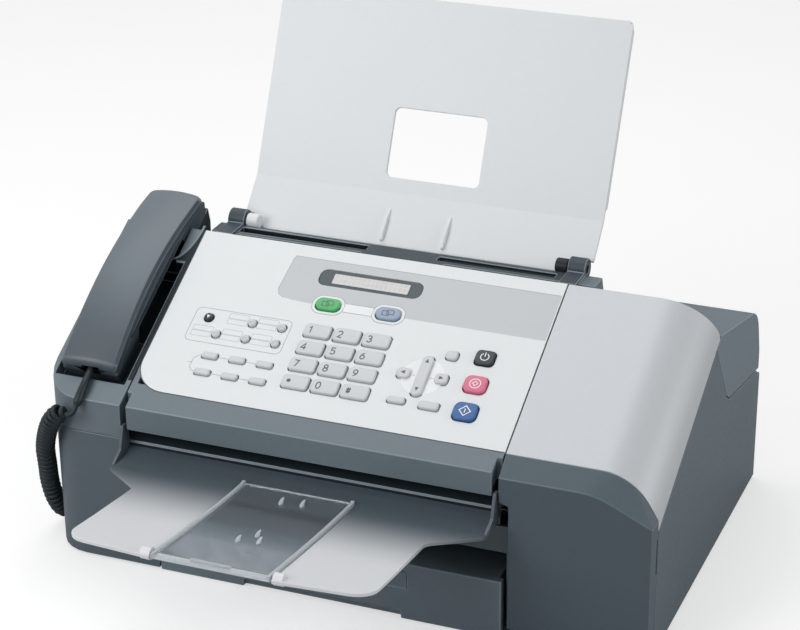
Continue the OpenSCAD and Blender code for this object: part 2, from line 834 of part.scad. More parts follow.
// cross-section of the right cover, square to the slope, drawn in by d
module cover_section(d = 0) {
    difference() {
        union() {
            translate([right_x - d * over, -cover_drop - d]) square([half_w - shoulder_r - right_x + d, cover_drop]);
            translate([half_w - shoulder_r, -shoulder_r]) circle(r = shoulder_r - d, $fn = 96);
        }
        translate([right_x - 2 * over - d, -3 * shoulder_r]) square([body_w, 3 * shoulder_r - cover_drop - d * over]);
        translate([right_x - 2 * over - d - shoulder_r, -3 * shoulder_r])
            square([shoulder_r + 2 * over + d * 0, 5 * shoulder_r]);
    }
}

// prism down the slope from s1, from an outline square to the slope
module down_slope(s1, l) {
    on_slope() translate([0, s1, 0]) rotate([90, 0, 0]) linear_extrude(l) children();
}

module right_cover() {
    color(silver) intersection() {
        difference() {
            down_slope(slope_len, slope_len + 20) cover_section();
            down_slope(slope_len - wall, slope_len + 20) translate([0, -eps]) cover_section(wall);
            // room for the cheek of the upper casing
            on_slope() box([right_x - over, 0, -2 * cover_drop], [right_x + cheek_t + seam, slope_len + over, -wall]);
            // its rear edge is upright in front of the hood
            box([right_x - over, hood_y - over, hood_top - 8], [half_w + over, body_d, 300]);
        }
        box([right_x, door_d + seam, 0], [half_w + over, body_d, 300]);
    }
}

// ---------------------------------------------------------------- panel

lip_notch = 3.4;

module plate_outline(d = 0) {
    polygon(rounded([
        [panel_x0 + d, strip + d, plate_r - d],
        [panel_x1 - d, strip + d, 0],
        [panel_x1 - d, slope_len - d, 0],
        [panel_x0 + d, slope_len - d, 0],
    ], 8));
}

// rows of keys: name, x, distance up the slope, width, length, corner radius, colour
function pad_key(name, col, row) = [name, pad_x + col * pad_dx, pad_y + row * pad_dy, pad_w, pad_l, 2.2, white];
pad_keys = [
    for (row = [0 : 2], col = [-1 : 1])
        pad_key(str("key_", (2 - row) * 3 + col + 2), col, row + 1),
    pad_key("key_star", -1, 0),
    pad_key("key_0", 0, 0),
    pad_key("key_hash", 1, 0),
];
dial_x = -82.8;
dial_y = 64.8;
dial_dx = 20.4;
dial_dy = 12.6;
dial_d = 6;
dial_keys = [
    for (i = [-1 : 1]) [str("dial_key_", i + 4), dial_x + i * dial_dx, dial_y, dial_d, dial_d, 2.8, white],
    for (i = [0 : 1]) [str("dial_key_", i + 1), dial_x + i * dial_dx, dial_y + dial_dy, dial_d, dial_d, 2.8, white],
    ["shift_key", -112.8, 76.6, 6.4, 6.4, 3, darker],
];
menu_x = -81.8;
menu_y = 34.8;
menu_dx = 18.8;
menu_dy = 13;
menu_keys = [
    for (row = [0 : 1], i = [-1 : 1])
        [str("function_key_", (1 - row) * 3 + i + 2), menu_x + i * menu_dx, menu_y + row * menu_dy, 11.2, 4.8, 1.6, white]
];
nav_x = 38.2;
nav_y = 58.8;
other_keys = [
    ["fax_key", -39.5, 100.6, 17, 10, 4.6, [0.33, 0.75, 0.43]],
    ["copy_key", 1.2, 100.6, 17, 10, 4.6, [0.65, 0.7, 0.78]],
    ["rocker_key", nav_x, nav_y, 8, 31, 3.6, white],
    ["left_key", nav_x - 12.2, nav_y, 9, 8, 2.4, white],
    ["right_key", nav_x + 12.2, nav_y, 9, 8, 2.4, white],
    ["menu_key", 51.5, 77.2, 8, 7, 2.2, white],
    ["clear_key", 28, 38.4, 12, 5, 1.8, white],
    ["ok_key", 49.3, 38.2, 13.4, 6, 1.8, white],
    ["power_key", 72.1, 79.3, 12.6, 11.4, 3, [0.24, 0.27, 0.29]],
    ["stop_key", 72.5, 58.9, 14.8, 13, 4, [0.88, 0.47, 0.6]],
    ["start_key", 72.6, 38.3, 15.4, 13.6, 4, [0.25, 0.43, 0.69]],
];
keys = concat(pad_keys, dial_keys, menu_keys, other_keys);

function key_named(name) = [for (k = keys) if (k[0] == name) k][0];

module key(k) {
    flange = 0.6;
    color(k[6]) on_slope() translate([k[1], k[2], 0]) {
        translate([0, 0, -plate_t - seam - over])
            linear_extrude(plate_t + seam + over + key_rise) round_rect(k[3], k[4], k[5]);
        translate([0, 0, -plate_t - seam - over])
            linear_extrude(over) round_rect(k[3] + 2 * flange, k[4] + 2 * flange, k[5]);
    }
}

module panel_plate() {
    color(white) on_slope() difference() {
        translate([0, 0, -plate_t]) linear_extrude(plate_t) plate_outline();
        for (k = keys) translate([k[1], k[2], -plate_t - over])
            linear_extrude(plate_t + 2 * over) round_rect(k[3] + 2 * key_gap, k[4] + 2 * key_gap, k[5] + key_gap);
        translate([lcd_x, lcd_y, -plate_t - over])
            linear_extrude(plate_t + 2 * over) round_rect(lcd_w + 2 * seam, lcd_l + 2 * seam, 5 + seam);
    }
}

module panel_frame() {
    lip_z = crease_z - lip_h;
    rim = 4;
    color(dark) difference() {
        union() {
            on_slope() box([panel_x0, 0, -frame_h], [panel_x1, slope_len, 0]);
            along_x(panel_x0, panel_x1) polygon([
                [0, lip_z],
                [0, crease_z],
                [8, top_z(8) - over],
                [8, top_z(8) - frame_h],
                [3, lip_z + 5],
                [3, lip_z],
            ]);
            on_slope() rod_x(panel_x0 - 2, panel_x1 + 2, panel_axis_s, -panel_pin_h, panel_pin_r);
        }
        // seat of the plate
        on_slope() translate([0, 0, -plate_t]) linear_extrude(plate_t + over) plate_outline(-0.02);
        // well for the key board
        on_slope() box([panel_x0 + rim, strip + rim, -frame_h + 2], [panel_x1 - rim, slope_len - 12, over]);
        // front of the frame is cut to an upright face
        box([panel_x0 - over, -40, 0], [panel_x1 + over, 0, 300]);
        // notches at the ends of the lip
        for (x = [panel_x0 - over, panel_x1 - lip_notch])
            box([x, -over, 0], [x + lip_notch + over, 10, top_z(10) + over]);
    }
}

module display_board() {
    floor_h = -frame_h + 2;
    top = floor_h + 1;
    color(darker) on_slope() {
        box([panel_x0 + 6, strip + 6, floor_h], [panel_x1 - 6, slope_len - 14, floor_h + board_t]);
        translate([lcd_x, lcd_y, floor_h]) linear_extrude(-floor_h - 0.4) round_rect(lcd_w, lcd_l, 5);
        for (k = keys) translate([k[1], k[2], top])
            cylinder(r = 2, h = -plate_t - seam - over - key_travel - seam - top);
    }
}

// ---------------------------------------------------------------- document tray

ear_top = crease_z - lip_h + 3;
tray_y1 = 5.6;
flap_hinge_y = -tray_reach + 4.5;
flap_back_y = flap_hinge_y + flap_len;
flap_pin_r = 1.6;

function tray_z(y) =
    y > -12 ? tray_low_z + (y + 12) * (y + 12) * 0.012
    : tray_low_z + (tray_front_z - tray_low_z) * pow((-12 - y) / (tray_reach - 12), 1.25);

module tray_sheet(x0, x1, t, y0 = tray_y1, y1 = -tray_reach, lift = 0) {
    n = 14;
    ys = [for (i = [0 : n]) y0 + (y1 - y0) * i / n];
    along_x(x0, x1) polygon(concat(
        [for (y = ys) [y, tray_z(y) + lift]],
        [for (i = [n : -1 : 0]) [ys[i], tray_z(ys[i]) + lift - t]]
    ));
}

module tray_outline() {
    back_y0 = -20;
    polygon(rounded([
        [panel_mid - tray_back_w, 8, 0],
        [panel_mid - tray_back_w, back_y0, 8],
        [panel_mid - tray_front_w, back_y0 - 22, 9],
        [panel_mid - tray_front_w - 0.5, -tray_reach + 5, 14],
        [panel_mid - 40, -tray_reach, 0],
        [panel_mid + 40, -tray_reach, 0],
        [panel_mid + tray_front_w + 0.5, -tray_reach + 5, 14],
        [panel_mid + tray_front_w, back_y0 - 22, 9],
        [panel_mid + tray_back_w, back_y0, 8],
        [panel_mid + tray_back_w, 8, 0],
    ]));
}

module document_tray() {
    color(silver) difference() {
        union() {
            intersection() {
                tray_sheet(panel_mid - tray_back_w, panel_mid + tray_back_w, tray_t);
                linear_extrude(200) tray_outline();
            }
            // ears at the lip's ends
            for (x = [panel_mid - tray_back_w, panel_mid + tray_back_w - 2])
                along_x(x, x + 2) polygon([
                    [-18, tray_z(-18) - 1],
                    [-6, tray_z(-6) + 5],
                    [-1.5, ear_top],
                    [3, ear_top],
                    [tray_y1, ear_top - 8],
                    [tray_y1, tray_z(tray_y1) - 1],
                ]);
            // bosses of the flap's pins
            for (s = [-1, 1])
                rod_x(panel_mid + s * (flap_w + 4.2) - 3, panel_mid + s * (flap_w + 4.2) + 3,
                    flap_hinge_y, tray_z(flap_hinge_y) - 0.4, flap_pin_r + 2.2);
        }
        // opening for the flap, to the tray's front edge
        box([panel_mid - flap_w - 1, -tray_reach - over, 60], [panel_mid + flap_w + 1, flap_back_y + 0.6, 120]);
        rod_x(panel_mid - flap_w - 6, panel_mid + flap_w + 6, flap_hinge_y, tray_z(flap_hinge_y) - 0.4, flap_pin_r + run);
    }
}

module tray_flap() {
    color([0.8, 0.85, 0.88, 0.5]) {
        intersection() {
            tray_sheet(panel_mid - flap_w, panel_mid + flap_w, flap_t, lift = 0.2);
            box([panel_mid - flap_w, -tray_reach, 60], [panel_mid + flap_w, flap_back_y, 120]);
        }
        // raised rails along the flap's sides
        for (s = [-1, 1]) intersection() {
            tray_sheet(panel_mid + s * (flap_w - 1) - 1, panel_mid + s * (flap_w - 1) + 1, flap_t + 1.8, lift = 2);
            box([panel_mid - flap_w, -tray_reach, 60], [panel_mid + flap_w, flap_back_y, 120]);
        }
        rod_x(panel_mid - flap_w - 5, panel_mid + flap_w + 5, flap_hinge_y, tray_z(flap_hinge_y) - 0.4, flap_pin_r);
    }
}

// ---------------------------------------------------------------- rollers and sensor of the document path

module document_roller() {
    color(rubber) on_doc_path() {
        rod_x(-102 + over, 66, doc_axis, -doc_sink, shaft_r);
        for (x = [-90, -46, -2, 36])
            rod_x(x, x + 20, doc_axis, -doc_sink, doc_roller_r);
    }
}

module scan_sensor() {
    color(black) on_doc_path() {
        box([-128, sensor_d, -13], [90, sensor_d + 16, 0]);
        box([-134, sensor_d + 2, -13], [96, sensor_d + 14, -doc_t]);
    }
}

// ---------------------------------------------------------------- document support

knuckle_r = 5;
knuckle_l = 8.5;
knuckle_x0 = left_boss + boss_l + seam;
knuckle_x1 = right_boss - seam;
support_off = 6;

// directions along the lower and the upper segment, and square to them, to the rear
low_dir = [cos(lower_angle), sin(lower_angle)];
up_dir = [cos(upper_angle), sin(upper_angle)];
low_n = [sin(lower_angle), -cos(lower_angle)];
up_n = [sin(upper_angle), -cos(upper_angle)];
sheet_p0 = [support_y, support_z] + low_n * support_off - low_dir * 2;
sheet_p1 = sheet_p0 + low_dir * lower_len;
sheet_p2 = sheet_p1 + up_dir * upper_len;

// strip in Y and Z from p to q, between the offsets n * a and n * b
module strip_side(p, q, n, a, b) {
    polygon([p + n * a, q + n * a, q + n * b, p + n * b]);
}

// outline of the sheet in Y and Z, from below the hinge axis to the top
module support_side(t) {
    polygon([
        sheet_p0,
        sheet_p1,
        sheet_p2,
        sheet_p2 + up_n * t,
        sheet_p1 + (low_n + up_n) / 2 * t,
        sheet_p0 + low_n * t,
    ]);
}

fold_y = support_y + support_off * sin(lower_angle) + (lower_len - 2) * cos(lower_angle);
fold_z = support_z - support_off * cos(lower_angle) + (lower_len - 2) * sin(lower_angle);

module document_support() {
    color(pale) difference() {
        union() {
            along_x(support_x0, support_x1) support_side(support_t);
            // side flanges, turned back
            for (x = [support_x0 + 0.3, support_x1 - 2.3])
                along_x(x, x + 2)
                    strip_side(sheet_p1 + up_dir * 4, sheet_p2 - up_dir * 0.8, up_n, 1, 7);
            // ribs that guide a narrow sheet
            for (x = [panel_mid - 17, panel_mid + 25.5])
                along_x(x, x + 2)
                    strip_side(sheet_p0 + low_dir * 3, sheet_p0 + low_dir * 27, low_n, 1, -3);
            // knuckles with pins
            rod_x(knuckle_x0, knuckle_x0 + knuckle_l, support_y, support_z, knuckle_r);
            rod_x(knuckle_x1 - knuckle_l, knuckle_x1, support_y, support_z, knuckle_r);
            rod_x(left_boss + 3, knuckle_x0 + over, support_y, support_z, support_pin_r);
            rod_x(knuckle_x1 - over, right_boss + boss_l - 3, support_y, support_z, support_pin_r);
            for (x = [knuckle_x0, knuckle_x1 - knuckle_l])
                box([x, support_y - 1, support_z - 4.4],
                    [x + knuckle_l, support_y + support_off + 0.6, support_z - 0.5]);
        }
        // window
        translate([0, fold_y, fold_z]) rotate([upper_angle, 0, 0])
            translate([panel_mid + 8.3, 10 + window_l / 2, -20]) linear_extrude(40) round_rect(window_w, window_l, 4);
        // notches round the bosses
        for (x = [left_boss, right_boss])
            difference() {
                rod_x(x - seam, x + boss_l + seam, support_y, support_z, boss_r + 1.5);
                rod_x(x - over, x + boss_l + over, support_y, support_z, support_pin_r);
            }
    }
}

// ---------------------------------------------------------------- handset

function hand_top(u) = 8 + (handset_top - 8) * (1 - pow(2 * u - 0.94, 2)) - (u > 0.5 ? (u - 0.5) * 3 : 0);

ear_len = 32;
grip_low = 2;

// side outline of the handset in the slope frame, drawn in by d
module handset_side(d = 0) {
    n = 14;
    s0 = handset_s + d;
    l = handset_len - 2 * d;
    polygon(concat(
        [for (i = [0 : n]) [s0 + l * i / n, hand_top(i / n) - d]],
        [
            [s0 + l, 1 + d],
            [s0 + l - 4, -ear_h + d],
            [s0 + l - ear_len, -ear_h + d],
            [s0 + l - ear_len - 6, grip_low + d],
            [s0 + mouth_len + 2, grip_low + d],
            [s0 + mouth_len - 4, -mouth_h + d],
            [s0 + 2, -mouth_h + d],
            [s0, 0 + d],
        ]
    ));
}

// cross-section of the handset: crowned back and narrower underside
module handset_section(d = 0) {
    w = handset_w / 2 - d;
    translate([handset_mid, 0]) polygon(rounded([
        [-w + 1.5, -20, 0],
        [-w, 6, 0],
        [-w + 1, 20, 1.5],
        [-w + 3, 40, 0],
        [w - 3, 40, 0],
        [w - 1, 20, 1.5],
        [w, 6, 0],
        [w - 1.5, -20, 0],
    ], 3));
}

module handset_body(d = 0) {
    intersection() {
        along_x(-half_w - 10, 0) handset_side(d);
        translate([0, handset_s + handset_len + 10, 0]) rotate([90, 0, 0])
            linear_extrude(handset_len + 20) handset_section(d);
    }
}

// parting surface between the back shell and the face shell
module handset_above(lift = 0) {
    n = 10;
    along_x(-half_w - 20, 10) polygon(concat(
        [for (i = [0 : n]) [
            handset_s - 5 + (handset_len + 10) * i / n,
            hand_top(i / n) - 9 + lift]],
        [[handset_s + handset_len + 5, 60], [handset_s - 5, 60]]
    ));
}

// slot that the cord leaves by
module cord_slot() {
    box([entry_x - slot_w / 2, handset_s - over, entry_h - slot_h / 2],
        [entry_x + slot_w / 2, handset_s + shell_t + over, entry_h + slot_h / 2]);
}

module handset_back() {
    color(dark) on_slope() difference() {
        intersection() {
            handset_body();
            handset_above();
        }
        handset_body(shell_t);
        cord_slot();
    }
}

module handset_face() {
    color(dark) on_slope() difference() {
        handset_body();
        handset_above();
        handset_body(shell_t);
        cord_slot();
        // sound holes of the earpiece and the mouthpiece
        for (x = [-6, 0, 6]) {
            translate([handset_mid + x, handset_s + handset_len - 18, -ear_h - over]) cylinder(r = 1, h = 5, $fn = 16);
            translate([handset_mid + x, handset_s + 16, -mouth_h - over]) cylinder(r = 1, h = 5, $fn = 16);
        }
    }
}

// ---------------------------------------------------------------- handset cord

cord_r = 1.9;
coil_r = 6.5;
entry_x = handset_mid + 1.5;
entry_h = 3;
slot_w = 12;
slot_h = 5.4;
jack_y = 132;
jack_z = 102;
jack_x = -half_w;
lead_in = [
    [-172, 16.5, 125.6], [-171.3, 12, 124], [-170.6, 5, 121], [-170.8, 0, 116.8],
    [-171.3, -4, 112], [-172.6, -7, 107.5], [-175, -8, 105.3], [-178, -7.5, 105],
];
coil_route = [
    [-178, -7.5, 105], [-184, -6, 104], [-192.5, -3.5, 93.5], [-203.5, 7.5, 71.5], [-207, 14, 53.5],
    [-210.5, 21, 37], [-210.5, 26, 22.5], [-209.5, 34, 11], [-208, 48, 7.5], [-207.5, 66, 7.5],
    [-207.5, 84, 7.5], [-207.5, 102, 8], [-208, 117, 12], [-208.5, 127, 21], [-209, 132, 34],
    [-209, 134, 50], [-209, 134, 66], [-208.5, 133.5, 80],
];
lead_out = [
    [-208.5, 133.5, 80], [-208.3, 133, 86], [-207.6, 132.6, 92.5], [-206, 132.2, 98.5],
    [-203.5, 132, 101.6], [jack_x + 1.5, jack_y, jack_z],
];

function smooth_at(p, i, t) =
    let (m = len(p) - 1, a = p[max(i - 1, 0)], b = p[i], c = p[i + 1], d = p[min(i + 2, m)])
    0.5 * (2 * b + (c - a) * t + (2 * a - 5 * b + 4 * c - d) * t * t + (3 * b - a - 3 * c + d) * t * t * t);
function smooth(p, n) = [for (i = [0 : len(p) - 2], k = [0 : n - 1]) smooth_at(p, i, k / n), p[len(p) - 1]];

function ring(c, dir, r, sides) =
    let (u = unit(cross(dir, abs(dir.z) > 0.9 ? [0, 1, 0] : [0, 0, 1])), v = cross(u, dir))
    [for (k = [0 : sides - 1]) c + r * (u * cos(360 * k / sides) + v * sin(360 * k / sides))];

module tube(p, r, sides) {
    n = len(p);
    dirs = [for (i = [0 : n - 1]) unit(p[min(i + 1, n - 1)] - p[max(i - 1, 0)])];
    pts = [for (i = [0 : n - 1]) each ring(p[i], dirs[i], r, sides)];
    sides_f = [for (i = [0 : n - 2], k = [0 : sides - 1])
        let (a = i * sides + k, b = i * sides + (k + 1) % sides) [a, a + sides, b + sides, b]];
    polyhedron(pts, concat([[for (k = [0 : sides - 1]) k]],
        sides_f, [[for (k = [sides - 1 : -1 : 0]) (n - 1) * sides + k]]));
}

module cord_coil() {
    color(black) tube(smooth(coil_route, 3), coil_r, 12);
}

module cord_leads() {
    color(black) {
        tube(smooth(lead_in, 2), cord_r, 8);
        tube(smooth(lead_out, 2), cord_r, 8);
    }
}

// ---------------------------------------------------------------- the part

key_names = [for (k = keys) k[0]];

place() base_casing();
place() rubber_feet();
place() ink_cover();
place() print_frame();
place() ink_cartridges();
place() print_carriage();
place() paper_roller();
place() circuit_boards();
place() paper_cassette();
place() upper_casing();
place() hook_button();
place() rear_hood();
place() right_cover();
place() scan_sensor();
place() document_roller();
place() document_tray();
place() tray_flap();
place() document_support();
place() panel_frame();
place() panel_plate();
place() display_board();
place() handset_back();
place() handset_face();
place() cord_coil();
place() cord_leads();
for (k = keys) place() key(k);
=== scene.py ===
"""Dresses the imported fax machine: bevelled shells, keys, handset, cord, camera and studio.

Lengths are in millimetres of part.scad's working frame (x to the right, y back from the casing's
front face, z up) until place() or on_slope() turns a point into the row frame's metres.
"""

import json
from math import cos, dist, hypot, pi, radians, sin, sqrt

import bmesh
import bpy
from mathutils import Matrix, Vector

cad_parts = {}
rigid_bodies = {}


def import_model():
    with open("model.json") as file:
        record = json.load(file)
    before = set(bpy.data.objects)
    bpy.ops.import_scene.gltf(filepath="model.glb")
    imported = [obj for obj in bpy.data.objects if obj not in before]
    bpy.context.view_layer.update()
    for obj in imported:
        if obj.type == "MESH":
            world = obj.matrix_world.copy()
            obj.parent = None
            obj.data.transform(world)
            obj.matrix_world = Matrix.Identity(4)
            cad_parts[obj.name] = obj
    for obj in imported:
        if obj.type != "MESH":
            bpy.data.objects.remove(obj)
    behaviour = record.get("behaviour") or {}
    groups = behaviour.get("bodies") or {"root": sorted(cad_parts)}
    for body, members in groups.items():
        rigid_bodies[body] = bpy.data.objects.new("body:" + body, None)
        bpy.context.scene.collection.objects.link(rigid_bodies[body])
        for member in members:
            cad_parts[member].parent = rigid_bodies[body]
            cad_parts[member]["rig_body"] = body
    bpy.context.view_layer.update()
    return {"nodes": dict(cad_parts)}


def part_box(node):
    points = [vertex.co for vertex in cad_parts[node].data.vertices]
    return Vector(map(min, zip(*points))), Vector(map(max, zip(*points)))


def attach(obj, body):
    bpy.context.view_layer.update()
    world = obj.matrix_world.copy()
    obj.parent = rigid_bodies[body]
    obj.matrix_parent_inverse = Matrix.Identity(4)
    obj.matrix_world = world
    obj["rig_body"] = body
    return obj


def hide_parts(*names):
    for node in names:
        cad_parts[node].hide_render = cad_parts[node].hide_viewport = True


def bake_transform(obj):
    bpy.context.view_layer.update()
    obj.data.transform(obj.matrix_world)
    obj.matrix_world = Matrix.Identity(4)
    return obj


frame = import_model()
scene = bpy.context.scene

# -------- frame

MM = 0.001
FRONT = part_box("base_casing")[0].y / MM  # the casing's front face in the row frame
SLOPE = radians(28)
CREASE = 113.5  # height of the front crease, where the slope starts
PANEL_MID = -19.0
PANEL_X0, PANEL_X1 = -143.0, 105.0  # the sides of the pale plate
STRIP, SLOPE_LEN = 15.0, 145.0  # the dark strip below the plate, and the whole slope


def place(x, y, z):
    """A point of the working frame, in the row frame in metres."""
    return Vector((x, y + FRONT, z)) * MM


def on_slope(x, s, h):
    """A point of the slope frame: s up the slope from the crease, h square to it."""
    c, d = cos(SLOPE), sin(SLOPE)
    return place(x, s * c - h * d, CREASE + s * d + h * c)


def slope_coords(at):
    """The s and h of a point of the working frame."""
    c, d = cos(SLOPE), sin(SLOPE)
    return at.y * c + (at.z - CREASE) * d, (at.z - CREASE) * c - at.y * d


def linked(name, data):
    """A new object with this mesh, lamp or camera, in the scene."""
    made = bpy.data.objects.new(name, data)
    scene.collection.objects.link(made)
    return made


# -------- camera

CAMERA_AT = (512.3, -1156.6, 776.7)
AZIMUTH, ELEVATION, ROLL = (radians(v) for v in (22.2, 25.2, -0.7))
SENSOR, LENS = 36, 107.04
SHIFT_X, SHIFT_Y = 0.00875, 0.0315
NEAREST, FARTHEST = 0.05, 50  # what the camera sees, in metres


def make_camera():
    level = Vector((cos(AZIMUTH), sin(AZIMUTH), 0))
    backward = Vector((
        sin(AZIMUTH) * cos(ELEVATION), -cos(AZIMUTH) * cos(ELEVATION), sin(ELEVATION)
    ))
    upright = backward.cross(level)
    right = level * cos(ROLL) + upright * sin(ROLL)
    up = upright * cos(ROLL) - level * sin(ROLL)
    data = bpy.data.cameras.new("camera")
    data.sensor_width, data.lens = SENSOR, LENS
    data.shift_x, data.shift_y = SHIFT_X, SHIFT_Y
    data.clip_start, data.clip_end = NEAREST, FARTHEST
    camera = linked("camera", data)
    turned = Matrix((right, up, backward)).transposed().to_4x4()
    camera.matrix_world = Matrix.Translation(place(*CAMERA_AT)) @ turned
    scene.camera = camera


make_camera()

# -------- materials

IOR = 1.49
COAT_GLOSS = 0.12
RELIEF = 0.00006  # depth of the moulded grain, in metres
SPECKLE = 0.6  # the coarser speckle in the colour, as a share of the grain's scale
SPECKLE_SHARE, CLOUD_SHARE = 0.45, 0.6  # how much speckle and clouds each move the colour
GLOSS_CLOUD = 1.7  # scale of the uneven gloss, as a share of the clouds' scale
GLOSS_DOWN, GLOSS_UP = 0.03, 0.04  # how far the roughness strays from its mean


def feed(tree, made, inputs):
    """Gives a node its inputs by name or number, each a value or another node's output."""
    for key, value in inputs.items():
        if isinstance(value, bpy.types.NodeSocket):
            tree.links.new(value, made.inputs[key])
        else:
            made.inputs[key].default_value = value
    return made


def node(tree, kind, inputs=None, **settings):
    made = tree.nodes.new("ShaderNode" + kind)
    for key, value in settings.items():
        setattr(made, key, value)
    return feed(tree, made, inputs or {})


def noise(tree, coords, scale, detail=3.0, rough=0.6):
    inputs = {"Vector": coords, "Scale": scale, "Detail": detail, "Roughness": rough}
    return node(tree, "TexNoise", inputs).outputs["Fac"]


def remap(tree, value, low, high, from_low=0.3, from_high=0.7):
    """Carries a value smoothly from one range to another."""
    inputs = {
        "Value": value, "From Min": from_low, "From Max": from_high, "To Min": low, "To Max": high,
    }
    made = node(tree, "MapRange", inputs, clamp=True, interpolation_type="SMOOTHSTEP")
    return made.outputs["Result"]


def mix(tree, share, one, other):
    """A colour between two others."""
    inputs = {"Factor": share, "A": one, "B": other}
    return node(tree, "Mix", inputs, data_type="RGBA").outputs["Result"]


def ramped_painted_shade(tree, coords, colour, start, end, far_colour):
    """A colour that turns into another one between two depths y: painted shade on the handset,
    painted reflection on the tray.
    """
    depth = node(tree, "SeparateXYZ", {0: coords}).outputs["Y"]
    share = remap(tree, depth, 0.0, 1.0, (start + FRONT) * MM, (end + FRONT) * MM)
    return mix(tree, share, colour, far_colour + (1.0,))


def plastic(
    name, colour, rough, grain, bump, vary=0.03, metallic=0.0, coat=0.0,
    transmission=0.0, specular=0.5, cloud=220.0, painted_shade_ramp=None,
):
    """Moulded plastic or paint: fine grain in the bump, faintly mottled colour, uneven gloss."""
    mat = bpy.data.materials.new(name)
    mat.use_nodes = True
    tree = mat.node_tree
    coords = node(tree, "TexCoord").outputs["Object"]

    def shade(factor):
        return tuple(min(1.0, c * factor) for c in colour) + (1.0,)

    speckle = noise(tree, coords, grain * SPECKLE, 2.0)
    clouds = remap(tree, noise(tree, coords, cloud, 4.0), 0.0, CLOUD_SHARE)
    mottle = node(tree, "Math", {0: speckle, 1: SPECKLE_SHARE, 2: clouds}, operation="MULTIPLY_ADD")
    shown = mix(tree, mottle.outputs[0], shade(1 - vary), shade(1 + vary))
    # painted shade and reflection: the colour ramps to another one along depth y
    if painted_shade_ramp:
        shown = ramped_painted_shade(tree, coords, shown, *painted_shade_ramp)
    uneven = noise(tree, coords, cloud * GLOSS_CLOUD)
    gloss = remap(tree, uneven, max(GLOSS_DOWN, rough - GLOSS_DOWN), rough + GLOSS_UP)
    shader = feed(tree, tree.nodes["Principled BSDF"], {
        "Base Color": shown, "Roughness": gloss, "Metallic": metallic, "IOR": IOR,
        "Specular IOR Level": specular, "Coat Weight": coat, "Coat Roughness": COAT_GLOSS,
        "Transmission Weight": transmission,
    })
    if bump:
        height = noise(tree, coords, grain, 3.0, 0.7)
        relief = node(tree, "Bump", {"Strength": bump, "Distance": RELIEF, "Height": height})
        feed(tree, shader, {"Normal": relief.outputs["Normal"]})
    return mat


def glossy(colour, specular=0.35):
    """The finish of a coloured key."""
    return colour, 0.28, 1500, 0.04, dict(coat=0.1, specular=specular)


